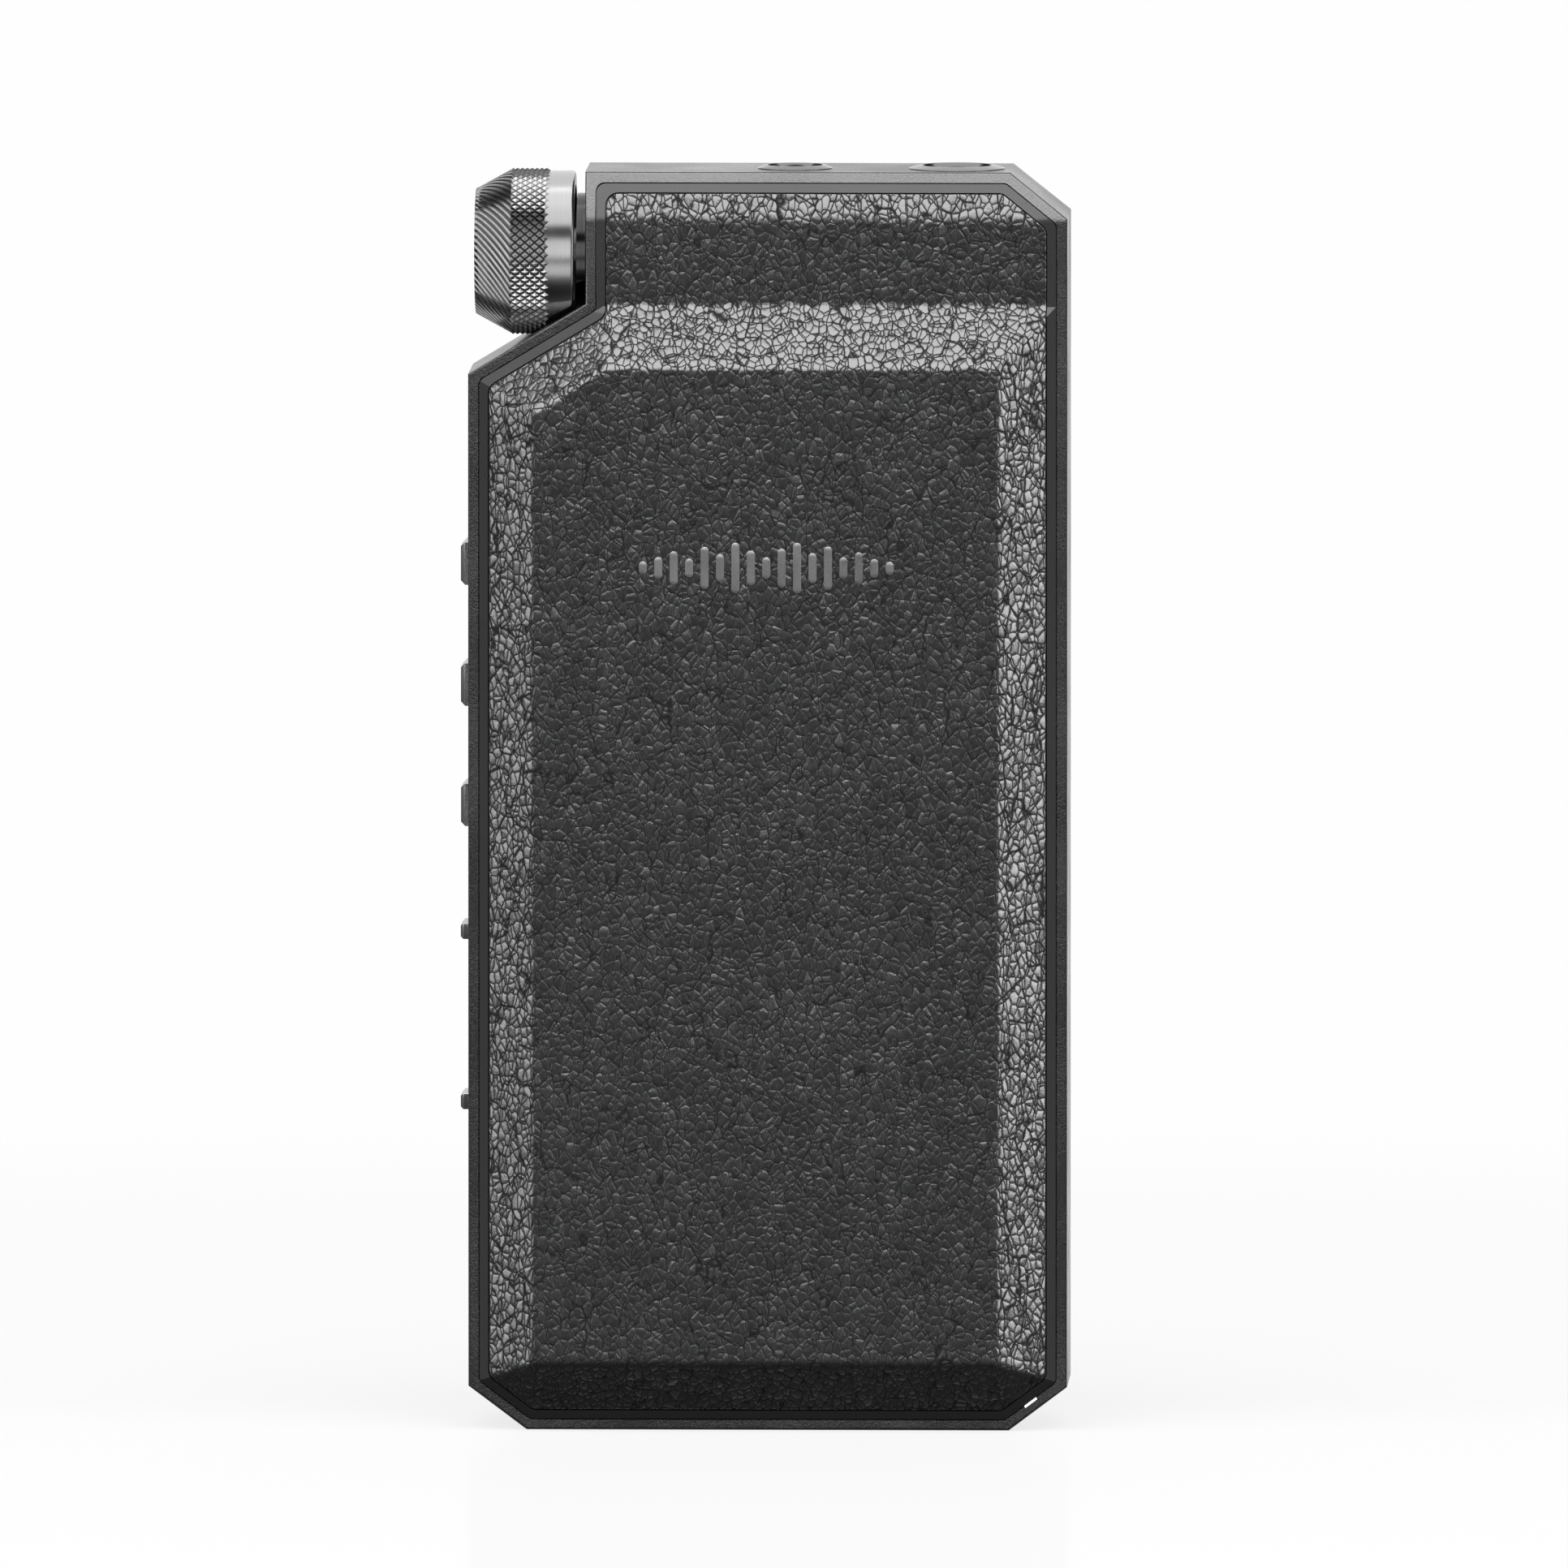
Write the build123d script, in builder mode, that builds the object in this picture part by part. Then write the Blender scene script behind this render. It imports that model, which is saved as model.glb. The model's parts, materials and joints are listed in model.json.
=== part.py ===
"""Portable digital audio player standing on its lower edge, in millimetres.

+Z is up, the leather back faces -Y and the glass front faces +Y. The origin is in the bottom face,
midway across its width and straight below the knob and socket axes. Looking at the back, the knob
bay is at the upper left, which is -X.
"""

import os

from build123d import *

os.makedirs("parts", exist_ok=True)

# ---------------------------------------------------------------- driving dimensions
# Body frame outline, seen from the back
HALF_WIDTH = 20.6
HEIGHT = 86.7
HALF_DEPTH = 5.0
FRONT_DEPTH = 5.5
WALL = 1.3
BASE_CUT_W, BASE_CUT_H = 4.0, 3.0
TOP_CUT_W, TOP_CUT_H = 3.95, 3.15
BAY_WALL_X = -12.55
BAY_CORNER_Z = 77.65
SHOULDER_Z = 72.8
EDGE_BREAK = 0.18

# Rear face: flat up to the crease, then leaning forward to the top edge
CREASE_Z = 83.5
CREASE_DROP = 0.8
CREASE_RADIUS = 2.0

# Back cover and leather, as insets from the outline and depths below the rear face
RIM = 0.70
PARTING = 0.08
BAND = 0.60
LEATHER_GAP = 0.06
LEATHER_THICK = 0.4
SEAT_DEPTH = 0.7
COVER_SHELL = 0.7
PLATEAU_RISE = 3.0
COVER_CORNER = 0.65
LEATHER_CORNER = 0.9
UPPER_EDGE_Z = 77.5

# Front cover
BEZEL_SEAT = 4.3
BEZEL_FRONT = 7.0
BEZEL_BEVEL = 1.0
BEZEL_CORNER = 1.3
GLASS_SEAT = 6.2
GLASS_FRONT = 7.6
GLASS_INSET = 2.6
GLASS_CORNER = 1.2
BEZEL_OPENING = 4.2
GLASS_GAP = 0.04
GLASS_BEVEL = 0.35

# Volume knob, on an axis along X
KNOB_Z = 80.95
KNOB_TIP_X = -20.2
KNOB_TIP_R = 4.3
CONE_END_X = -17.68
GRIP_END_X = -15.0
GRIP_R = 5.735
COLLAR_END_X = -13.35
COLLAR_R = 5.55
SPIGOT_R = 4.6
SHAFT_R = 1.55
BUSHING_R = 4.02
BUSHING_BARREL_R = 3.2
POCKET_R = 5.9
SHAFT_TIP_X, SHAFT_END_X = -18.9, -6.0
BUSHING_FACE_X = -13.2
RUNNING_GAP = 0.05
ENCODER_FACE_X, ENCODER_END_X = -9.7, -4.7
ENCODER_HALF_Z = 4.1
NUT_APOTHEM = 3.8

# Side buttons and slide switches on the -X wall
BUTTON_ZS = (59.55, 51.2, 42.9)
BUTTON_HEIGHT, BUTTON_DEPTH = 2.95, 4.6
BUTTON_PROUD = 0.6
BUTTON_TRAVEL = 0.25
SLIDER_ZS = (34.17, 22.42)
SLIDER_HEIGHT, SLIDER_DEPTH = 1.1, 4.5
SLIDER_PROUD = 0.62
SLIDER_TRAVEL = 1.5
SLOT_CLEARANCE = 0.08

# Sockets in the top face: x, flange radius, lip radius, bore radius, body half width, body length
JACK_SMALL = dict(x=1.75, flange=2.57, lip=2.05, bore=1.825, half=3.1, length=14.0)
JACK_LARGE = dict(x=12.88, flange=3.32, lip=2.55, bore=2.275, half=3.7, length=18.5)
RING_PROUD = 0.25
RING_DEPTH = 2.1
RING_SEAT = 0.32

# Sockets in the bottom face
USB_XS = (-7.0, 7.0)
USB_SHELL_W, USB_SHELL_H = 8.94, 3.2
USB_OPEN_W, USB_OPEN_H = 8.34, 2.6
USB_LENGTH = 7.4
USB_CLEARANCE = 0.05

# Boards and battery, as depths along Y
BOARD_REAR, BOARD_FRONT = -1.0, 0.0
BOARD_TOP = 69.8
PLATE_REAR, PLATE_FRONT = 2.9, 4.0
SIDE_BOARD_X = -17.0
SIDE_BOARD_THICK = 0.6
SCREW_R = 0.6
SCREW_HEAD_R = 1.2

OUTLINE = [
    (BASE_CUT_W - HALF_WIDTH, 0),
    (HALF_WIDTH - BASE_CUT_W, 0),
    (HALF_WIDTH, BASE_CUT_H),
    (HALF_WIDTH, HEIGHT - TOP_CUT_H),
    (HALF_WIDTH - TOP_CUT_W, HEIGHT),
    (BAY_WALL_X, HEIGHT),
    (BAY_WALL_X, BAY_CORNER_Z),
    (-HALF_WIDTH, SHOULDER_Z),
    (-HALF_WIDTH, BASE_CUT_H),
]
# Raised part of the back: the corners of its flat top
PLATEAU = dict(left=-16.0, right=15.85, bottom=4.8, top=73.5, notch_x=-10.85, notch_z=70.1)

rear_slope = Plane(
    origin=(0, -HALF_DEPTH, CREASE_Z), x_dir=(1, 0, 0), z_dir=(0, CREASE_Z - HEIGHT, CREASE_DROP)
)
knob_axis = Axis((0, 0, KNOB_Z), (1, 0, 0))
inner_wall_x = -HALF_WIDTH + WALL
cover_inset = RIM + PARTING
leather_inset = cover_inset + BAND + LEATHER_GAP
jack_ends = [(jack, HEIGHT - RING_DEPTH - jack["length"]) for jack in (JACK_SMALL, JACK_LARGE)]


# ---------------------------------------------------------------- helpers
def at_depth(y):
    """Sketch plane at depth y: local x is X and local y is Z, and a positive extrude runs to the rear."""
    return Plane.XZ.offset(-y)


def inset_outline(inset, corner=0.0):
    """The frame's outline moved inwards by inset, with its corners rounded."""
    with BuildSketch() as outline:
        Polygon(*OUTLINE, align=None)
        offset(amount=-inset, kind=Kind.INTERSECTION)
        if corner:
            fillet(outline.vertices(), corner)
    return outline.sketch


def rear_layer(outline, level):
    """A solid from the middle of the depth out to a surface that lies level outside the rear face."""
    with BuildPart() as layer:
        with BuildSketch(at_depth(0)):
            add(outline)
        extrude(amount=HALF_DEPTH + level)
        split(bisect_by=rear_slope.offset(level), keep=Keep.BOTTOM)
    return layer.part


def bevel_plane(foot_a, foot_b, crest):
    """The plane through two points on the rear face and one on the plateau, facing out of the back."""
    low_a = Vector(foot_a[0], -HALF_DEPTH, foot_a[1])
    low_b = Vector(foot_b[0], -HALF_DEPTH, foot_b[1])
    high = Vector(crest[0], -HALF_DEPTH - PLATEAU_RISE, crest[1])
    normal = (low_b - low_a).cross(high - low_a)
    if normal.Y > 0:
        normal = -normal
    return Plane(origin=low_a, x_dir=low_b - low_a, z_dir=normal)


def bevel_planes():
    """The seven sloping sides of the raised back, from the parting line up to the plateau."""
    with BuildSketch() as foot:
        Polygon(*OUTLINE, align=None)
        offset(amount=-cover_inset, kind=Kind.INTERSECTION)
    corners = [(v.X, v.Y) for v in foot.vertices()]
    left = [c for c in corners if abs(c[0] - min(x for x, z in corners)) < 1e-3]
    right = [c for c in corners if abs(c[0] - max(x for x, z in corners)) < 1e-3]
    base = [c for c in corners if abs(c[1] - min(z for x, z in corners)) < 1e-3]
    base_left, base_right = min(base), max(base)
    left_low, left_high = sorted(left, key=lambda c: c[1])
    right_low = min(right, key=lambda c: c[1])
    bay = min((c for c in corners if left_high[1] < c[1] < CREASE_Z - 1), key=lambda c: c[1])
    p = PLATEAU
    return [
        bevel_plane(left_low, left_high, (p["left"], p["notch_z"])),
        bevel_plane(left_high, bay, (p["notch_x"], p["top"])),
        bevel_plane((-HALF_WIDTH, UPPER_EDGE_Z), (HALF_WIDTH, UPPER_EDGE_Z), (0, p["top"])),
        bevel_plane(right_low, (right_low[0], HEIGHT), (p["right"], p["bottom"])),
        bevel_plane(base_left, base_right, (0, p["bottom"])),
        bevel_plane(base_left, left_low, (p["left"], p["bottom"])),
        bevel_plane(base_right, right_low, (p["right"], p["bottom"])),
    ]


def raised_block(outline, skin):
    """The raised part of the back, lying skin below its outer surface."""
    with BuildPart() as block:
        with BuildSketch(at_depth(0)):
            add(outline)
        extrude(amount=HALF_DEPTH + PLATEAU_RISE - skin)
        for plane in bevel_planes():
            split(bisect_by=plane.offset(-skin), keep=Keep.BOTTOM)
    return block.part


def boundary_edges(faces):
    """The edges that border exactly one of the given faces."""
    edges = [edge for face in faces for edge in face.edges()]
    return ShapeList(e for e in edges if sum(e.is_same(other) for other in edges) == 1)


def rear_faces(shape):
    """Faces that look to the rear, the leaning one included."""
    return shape.faces().filter_by(lambda f: f.normal_at().Y < -0.9)


# ---------------------------------------------------------------- status light pipe
# A strip in the lower corner's parting line, with a foot that brings the light from inside
LIGHT_WIDTH, LIGHT_THICK = 1.0, 0.12
LIGHT_DEPTH = 1.0
LIGHT_FOOT_DEPTH, LIGHT_FOOT_END = 0.3, 0.4
LIGHT_OFFSET = 0.1
light_plane = Plane(
    origin=(
        HALF_WIDTH - BASE_CUT_W / 2 - LIGHT_OFFSET,
        0,
        (BASE_CUT_W / 2 - LIGHT_OFFSET) * BASE_CUT_H / BASE_CUT_W,
    ),
    x_dir=(BASE_CUT_W, 0, BASE_CUT_H),
    z_dir=(-BASE_CUT_H, 0, BASE_CUT_W),
)
with BuildPart() as status_light_pipe:
    with BuildSketch(light_plane.offset(RIM - LIGHT_THICK)):
        with Locations((0, -HALF_DEPTH + LIGHT_DEPTH / 2)):
            Rectangle(LIGHT_WIDTH, LIGHT_DEPTH)
    extrude(amount=LIGHT_THICK)
    with BuildSketch(light_plane.offset(RIM - LIGHT_THICK)):
        with Locations((0, -HALF_DEPTH + LIGHT_DEPTH + LIGHT_FOOT_DEPTH / 2)):
            Rectangle(LIGHT_WIDTH, LIGHT_FOOT_DEPTH)
    extrude(amount=WALL - RIM + LIGHT_THICK + LIGHT_FOOT_END)
status_light_pipe.part.label = "status_light_pipe"
export_step(status_light_pipe.part, "parts/status_light_pipe.step")

# ---------------------------------------------------------------- bonding tapes under the two covers
TAPE_OUTER, TAPE_INNER, TAPE_THICK = 0.85, 1.25, 0.1

with BuildPart() as cover_tape:
    add(rear_layer(inset_outline(TAPE_OUTER, COVER_CORNER), -SEAT_DEPTH))
    add(rear_layer(inset_outline(0), -SEAT_DEPTH - TAPE_THICK), mode=Mode.SUBTRACT)
    with BuildSketch(at_depth(0)):
        add(inset_outline(TAPE_INNER))
    extrude(amount=HALF_DEPTH, mode=Mode.SUBTRACT)
cover_tape.part.label = "cover_tape"
export_step(cover_tape.part, "parts/cover_tape.step")

with BuildPart() as bezel_tape:
    with BuildSketch(at_depth(BEZEL_SEAT)):
        add(inset_outline(TAPE_OUTER, BEZEL_CORNER))
        add(inset_outline(TAPE_INNER), mode=Mode.SUBTRACT)
    extrude(amount=TAPE_THICK)
bezel_tape.part.label = "bezel_tape"
export_step(bezel_tape.part, "parts/bezel_tape.step")

# ---------------------------------------------------------------- body frame
cover_space = rear_layer(inset_outline(RIM, COVER_CORNER), 1.0) - rear_layer(
    inset_outline(RIM, COVER_CORNER), -SEAT_DEPTH
)
LUGS = [(-17.7, 8.0), (17.7, 8.0), (17.7, 64.0), (-17.7, 69.0)]
LUG_SIZE, LUG_DEPTH = 3.2, 1.0
LUG_ROOT = 0.01
KNOB_HOUSING = 1.4

with BuildPart() as body_frame:
    with BuildSketch(at_depth(FRONT_DEPTH)):
        Polygon(*OUTLINE, align=None)
    extrude(amount=HALF_DEPTH + FRONT_DEPTH)
    split(bisect_by=rear_slope, keep=Keep.BOTTOM)
    fillet(
        body_frame.edges().filter_by(Axis.X).filter_by_position(Axis.Z, CREASE_Z - 0.01, CREASE_Z + 0.01),
        CREASE_RADIUS,
    )
    fillet(boundary_edges(rear_faces(body_frame)), EDGE_BREAK)
    fillet(body_frame.faces().sort_by(Axis.Y)[-1].edges(), EDGE_BREAK)
    # Hollow inside, kept clear of the knob pocket
    with BuildSketch(at_depth(FRONT_DEPTH)):
        Polygon(*OUTLINE, align=None)
        offset(amount=-WALL, kind=Kind.INTERSECTION)
        with Locations((BAY_WALL_X + WALL, KNOB_Z - POCKET_R - KNOB_HOUSING)):
            Rectangle(HALF_WIDTH, HEIGHT, align=(Align.MAX, Align.MIN), mode=Mode.SUBTRACT)
    extrude(amount=HALF_DEPTH + FRONT_DEPTH, mode=Mode.SUBTRACT)
    # Recesses for the two covers
    add(cover_space, mode=Mode.SUBTRACT)
    with BuildSketch(at_depth(FRONT_DEPTH)):
        add(inset_outline(RIM, BEZEL_CORNER))
    extrude(amount=FRONT_DEPTH - BEZEL_SEAT, mode=Mode.SUBTRACT)
    add(cover_tape.part, mode=Mode.SUBTRACT)
    add(bezel_tape.part, mode=Mode.SUBTRACT)
    # Knob pocket in the shoulder, and the hole for the bushing
    with BuildSketch(Plane.YZ.offset(BAY_WALL_X)):
        with Locations((0, KNOB_Z)):
            Circle(POCKET_R)
    extrude(amount=-HALF_WIDTH, mode=Mode.SUBTRACT)
    with BuildSketch(Plane.YZ.offset(BAY_WALL_X)):
        with Locations((0, KNOB_Z)):
            Circle(BUSHING_BARREL_R)
    extrude(amount=WALL, mode=Mode.SUBTRACT)
    # Lugs that carry the chassis plate
    with BuildSketch(at_depth(PLATE_REAR)):
        with Locations(*LUGS):
            Rectangle(LUG_SIZE + 2 * LUG_ROOT, LUG_SIZE)
    extrude(amount=LUG_DEPTH)
    with BuildSketch(at_depth(PLATE_REAR)):
        with Locations(*LUGS):
            Circle(SCREW_R)
    extrude(amount=LUG_DEPTH, mode=Mode.SUBTRACT)
    # Button and slide switch slots in the -X wall
    with BuildSketch(Plane.YZ.offset(-HALF_WIDTH)):
        with Locations(*[(0, z) for z in BUTTON_ZS]):
            Rectangle(BUTTON_DEPTH + 2 * SLOT_CLEARANCE, BUTTON_HEIGHT + 2 * SLOT_CLEARANCE)
        with Locations(*[(0, z - SLIDER_TRAVEL / 2) for z in SLIDER_ZS]):
            Rectangle(
                SLIDER_DEPTH + 2 * SLOT_CLEARANCE, SLIDER_HEIGHT + SLIDER_TRAVEL + 3 * SLOT_CLEARANCE
            )
    extrude(amount=WALL, mode=Mode.SUBTRACT)
    # Socket holes: two round ones through the top, two long ones through the bottom
    for jack in (JACK_SMALL, JACK_LARGE):
        with BuildSketch(Plane.XY.offset(HEIGHT - WALL)):
            with Locations((jack["x"], 0)):
                Circle(jack["flange"] - RING_SEAT)
        extrude(amount=WALL, mode=Mode.SUBTRACT)
    with BuildSketch(Plane.XY):
        with Locations(*[(x, 0) for x in USB_XS]):
            SlotOverall(USB_SHELL_W + 2 * USB_CLEARANCE, USB_SHELL_H + 2 * USB_CLEARANCE)
    extrude(amount=WALL, mode=Mode.SUBTRACT)
    add(status_light_pipe.part, mode=Mode.SUBTRACT)
body_frame.part.label = "body_frame"
export_step(body_frame.part, "parts/body_frame.step")

# ---------------------------------------------------------------- back cover
cover_outline = inset_outline(cover_inset, COVER_CORNER)
leather_outline = inset_outline(leather_inset, LEATHER_CORNER)
leather_bed_outline = inset_outline(leather_inset - LEATHER_GAP, LEATHER_CORNER)

# The space the leather lies in: everything outside the cover's outer surface
with BuildPart() as leather_bed:
    with BuildSketch(at_depth(0)):
        add(leather_bed_outline)
    extrude(amount=HALF_DEPTH + PLATEAU_RISE + 1)
    add(rear_layer(leather_bed_outline, -LEATHER_THICK), mode=Mode.SUBTRACT)
    add(raised_block(leather_bed_outline, LEATHER_THICK), mode=Mode.SUBTRACT)

with BuildPart() as back_cover:
    add(rear_layer(cover_outline, 0))
    fillet(
        back_cover.edges().filter_by(Axis.X).filter_by_position(Axis.Z, CREASE_Z - 0.01, CREASE_Z + 0.01),
        CREASE_RADIUS,
    )
    add(raised_block(cover_outline, 0))
    add(leather_bed.part, mode=Mode.SUBTRACT)
    # Hollow underside
    add(raised_block(leather_bed_outline, LEATHER_THICK + COVER_SHELL), mode=Mode.SUBTRACT)
    add(rear_layer(inset_outline(0), -SEAT_DEPTH), mode=Mode.SUBTRACT)
back_cover.part.label = "back_cover"
export_step(back_cover.part, "parts/back_cover.step")

# ---------------------------------------------------------------- leather panel and emblem
EMBLEM_Z = 59.7
EMBLEM_BAR_W, EMBLEM_PITCH = 0.56, 1.06
EMBLEM_BARS = (0.9, 1.5, 2.3, 1.3, 2.9, 1.9, 3.5, 2.4, 1.5, 2.7, 3.5, 2.1, 3.0, 1.5, 2.2, 1.3, 0.9)
EMBLEM_INLAY, EMBLEM_PROUD = 0.15, 0.06
plateau_y = -HALF_DEPTH - PLATEAU_RISE

with BuildPart() as emblem:
    with BuildSketch(at_depth(plateau_y + EMBLEM_INLAY)):
        for i, bar in enumerate(EMBLEM_BARS):
            with Locations(((i - (len(EMBLEM_BARS) - 1) / 2) * EMBLEM_PITCH, EMBLEM_Z)):
                SlotOverall(bar, EMBLEM_BAR_W, rotation=90)
    extrude(amount=EMBLEM_INLAY + EMBLEM_PROUD)
emblem.part.label = "emblem"
export_step(emblem.part, "parts/emblem.step")

with BuildPart() as leather_panel:
    add(rear_layer(leather_outline, 0))
    add(raised_block(leather_outline, 0))
    add(rear_layer(inset_outline(0), -LEATHER_THICK), mode=Mode.SUBTRACT)
    add(raised_block(leather_bed_outline, LEATHER_THICK), mode=Mode.SUBTRACT)
    add(emblem.part, mode=Mode.SUBTRACT)
leather_panel.part.label = "leather_panel"
export_step(leather_panel.part, "parts/leather_panel.step")

# ---------------------------------------------------------------- front cover and glass
with BuildPart() as front_bezel:
    with BuildSketch(at_depth(BEZEL_FRONT)):
        add(inset_outline(cover_inset, BEZEL_CORNER))
    extrude(amount=BEZEL_FRONT - BEZEL_SEAT)
    chamfer(front_bezel.faces().sort_by(Axis.Y)[-1].edges(), BEZEL_BEVEL)
    with BuildSketch(at_depth(BEZEL_FRONT)):
        add(inset_outline(GLASS_INSET, GLASS_CORNER))
    extrude(amount=BEZEL_FRONT - GLASS_SEAT, mode=Mode.SUBTRACT)
    with BuildSketch(at_depth(BEZEL_FRONT)):
        add(inset_outline(BEZEL_OPENING, GLASS_CORNER))
    extrude(amount=BEZEL_FRONT - BEZEL_SEAT, mode=Mode.SUBTRACT)
front_bezel.part.label = "front_bezel"
export_step(front_bezel.part, "parts/front_bezel.step")

with BuildPart() as front_glass:
    with BuildSketch(at_depth(GLASS_FRONT)):
        add(inset_outline(GLASS_INSET + GLASS_GAP, GLASS_CORNER))
    extrude(amount=GLASS_FRONT - GLASS_SEAT)
    chamfer(front_glass.faces().sort_by(Axis.Y)[-1].edges(), GLASS_BEVEL)
front_glass.part.label = "front_glass"
export_step(front_glass.part, "parts/front_glass.step")

# ---------------------------------------------------------------- display
DISPLAY_W, DISPLAY_H, DISPLAY_THICK = 26.0, 31.0, 1.4
DISPLAY_Z = 55.5
FLEX_THICK = 0.12
FLEX_SLOT_Z = 36.0

with BuildPart() as display_module:
    with BuildSketch(at_depth(GLASS_SEAT)):
        with Locations((0, DISPLAY_Z)):
            RectangleRounded(DISPLAY_W, DISPLAY_H, 0.8)
    extrude(amount=DISPLAY_THICK)
display_module.part.label = "display_module"
export_step(display_module.part, "parts/display_module.step")

display_rear = GLASS_SEAT - DISPLAY_THICK
with BuildPart() as display_foam:
    with BuildSketch(at_depth(display_rear)):
        with Locations((0, DISPLAY_Z + 1)):
            Rectangle(DISPLAY_W - 4, DISPLAY_H - 6)
    extrude(amount=display_rear - PLATE_FRONT)
display_foam.part.label = "display_foam"
export_step(display_foam.part, "parts/display_foam.step")

# The flex leaves the display's back, passes the chassis plate and lands on the board
with BuildPart() as display_flex:
    with BuildSketch(Plane.YZ):
        Polygon(
            (display_rear, DISPLAY_Z - DISPLAY_H / 2 + 1),
            (display_rear - FLEX_THICK, DISPLAY_Z - DISPLAY_H / 2 + 1),
            (display_rear - FLEX_THICK, FLEX_SLOT_Z + FLEX_THICK),
            (BOARD_FRONT, FLEX_SLOT_Z + FLEX_THICK),
            (BOARD_FRONT, FLEX_SLOT_Z - 3),
            (BOARD_FRONT + FLEX_THICK, FLEX_SLOT_Z - 3),
            (BOARD_FRONT + FLEX_THICK, FLEX_SLOT_Z),
            (display_rear, FLEX_SLOT_Z),
            align=None,
        )
    extrude(amount=4, both=True)
display_flex.part.label = "display_flex"
export_step(display_flex.part, "parts/display_flex.step")

# ---------------------------------------------------------------- chassis plate
BOSSES = [(-13.2, 12.5), (16.0, 12.5), (16.0, 60.0), (-13.2, 66.0)]
BOSS_R = 1.5
PLATE_CLEARANCE = 0.15
PART_CLEARANCE = 0.2
SINK_DEPTH = 0.5

with BuildPart() as plate_screws:
    for x, z in LUGS:
        with BuildSketch(Plane.XY.offset(z)):
            Polygon(
                (x, PLATE_FRONT),
                (x + SCREW_HEAD_R, PLATE_FRONT),
                (x + SCREW_R, PLATE_FRONT - SINK_DEPTH),
                (x + SCREW_R, PLATE_REAR - LUG_DEPTH),
                (x, PLATE_REAR - LUG_DEPTH),
                align=None,
            )
        revolve(axis=Axis((x, 0, z), (0, 1, 0)))
plate_screws.part.label = "plate_screws"
export_step(plate_screws.part, "parts/plate_screws.step")

with BuildPart() as chassis_plate:
    with BuildSketch(at_depth(PLATE_FRONT)):
        Polygon(*OUTLINE, align=None)
        offset(amount=-WALL - PLATE_CLEARANCE, kind=Kind.INTERSECTION)
        with Locations((BAY_WALL_X + WALL + PLATE_CLEARANCE, KNOB_Z - POCKET_R - KNOB_HOUSING - PLATE_CLEARANCE)):
            Rectangle(HALF_WIDTH, HEIGHT, align=(Align.MAX, Align.MIN), mode=Mode.SUBTRACT)
        with Locations((0, FLEX_SLOT_Z + FLEX_THICK / 2)):
            Rectangle(9, 1, mode=Mode.SUBTRACT)
        # Room for the two sockets and the encoder, which are deeper than the plate allows
        for jack, jack_end in jack_ends:
            with Locations((jack["x"], jack_end - PART_CLEARANCE)):
                Rectangle(
                    2 * (jack["half"] + PART_CLEARANCE),
                    HEIGHT,
                    align=(Align.CENTER, Align.MIN),
                    mode=Mode.SUBTRACT,
                )
        with Locations((ENCODER_END_X + PART_CLEARANCE, KNOB_Z - 1.2 * ENCODER_HALF_Z)):
            Rectangle(HALF_WIDTH, HEIGHT, align=(Align.MAX, Align.MIN), mode=Mode.SUBTRACT)
    extrude(amount=PLATE_FRONT - PLATE_REAR)
    with BuildSketch(at_depth(PLATE_REAR)):
        with Locations(*BOSSES):
            Circle(BOSS_R)
    extrude(amount=PLATE_REAR - BOARD_FRONT)
    with BuildSketch(at_depth(PLATE_REAR - 0.6)):
        with Locations(*BOSSES):
            Circle(SCREW_R)
    extrude(amount=PLATE_REAR, mode=Mode.SUBTRACT)
    add(plate_screws.part, mode=Mode.SUBTRACT)
chassis_plate.part.label = "chassis_plate"
export_step(chassis_plate.part, "parts/chassis_plate.step")

# ---------------------------------------------------------------- main board and what stands on it
with BuildPart() as main_board:
    with BuildSketch(at_depth(BOARD_FRONT)):
        Polygon(
            (-15.9, 2.0),
            (15.9, 2.0),
            (18.6, 4.2),
            (18.6, BOARD_TOP),
            (-3.0, BOARD_TOP),
            (-3.0, 76.4),
            (-10.6, 76.4),
            (-10.6, 72.6),
            (-15.9, BOARD_TOP),
            align=None,
        )
        with Locations(*[(x, 0) for x in USB_XS]):
            Rectangle(USB_SHELL_W + 0.2, 2 * USB_LENGTH + 0.6, mode=Mode.SUBTRACT)
        with Locations((JACK_LARGE["x"], jack_ends[1][1] - PART_CLEARANCE)):
            Rectangle(
                2 * (JACK_LARGE["half"] + PART_CLEARANCE),
                HEIGHT,
                align=(Align.CENTER, Align.MIN),
                mode=Mode.SUBTRACT,
            )
        with Locations(*BOSSES):
            Circle(SCREW_R + 0.05, mode=Mode.SUBTRACT)
    extrude(amount=BOARD_FRONT - BOARD_REAR)
main_board.part.label = "main_board"
export_step(main_board.part, "parts/main_board.step")

with BuildPart() as board_screws:
    with BuildSketch(at_depth(BOARD_REAR)):
        with Locations(*BOSSES):
            Circle(SCREW_HEAD_R)
    extrude(amount=0.6)
    with BuildSketch(at_depth(BOARD_REAR)):
        with Locations(*BOSSES):
            Circle(SCREW_R)
    extrude(amount=-3.3)
board_screws.part.label = "board_screws"
export_step(board_screws.part, "parts/board_screws.step")


def chips(name, places, width, height, thick):
    """A group of equal flat packages on the board's front face."""
    with BuildPart() as group:
        with BuildSketch(at_depth(BOARD_FRONT)):
            with Locations(*places):
                Rectangle(width, height)
        extrude(amount=-thick)
    group.part.label = name
    export_step(group.part, f"parts/{name}.step")


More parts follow.
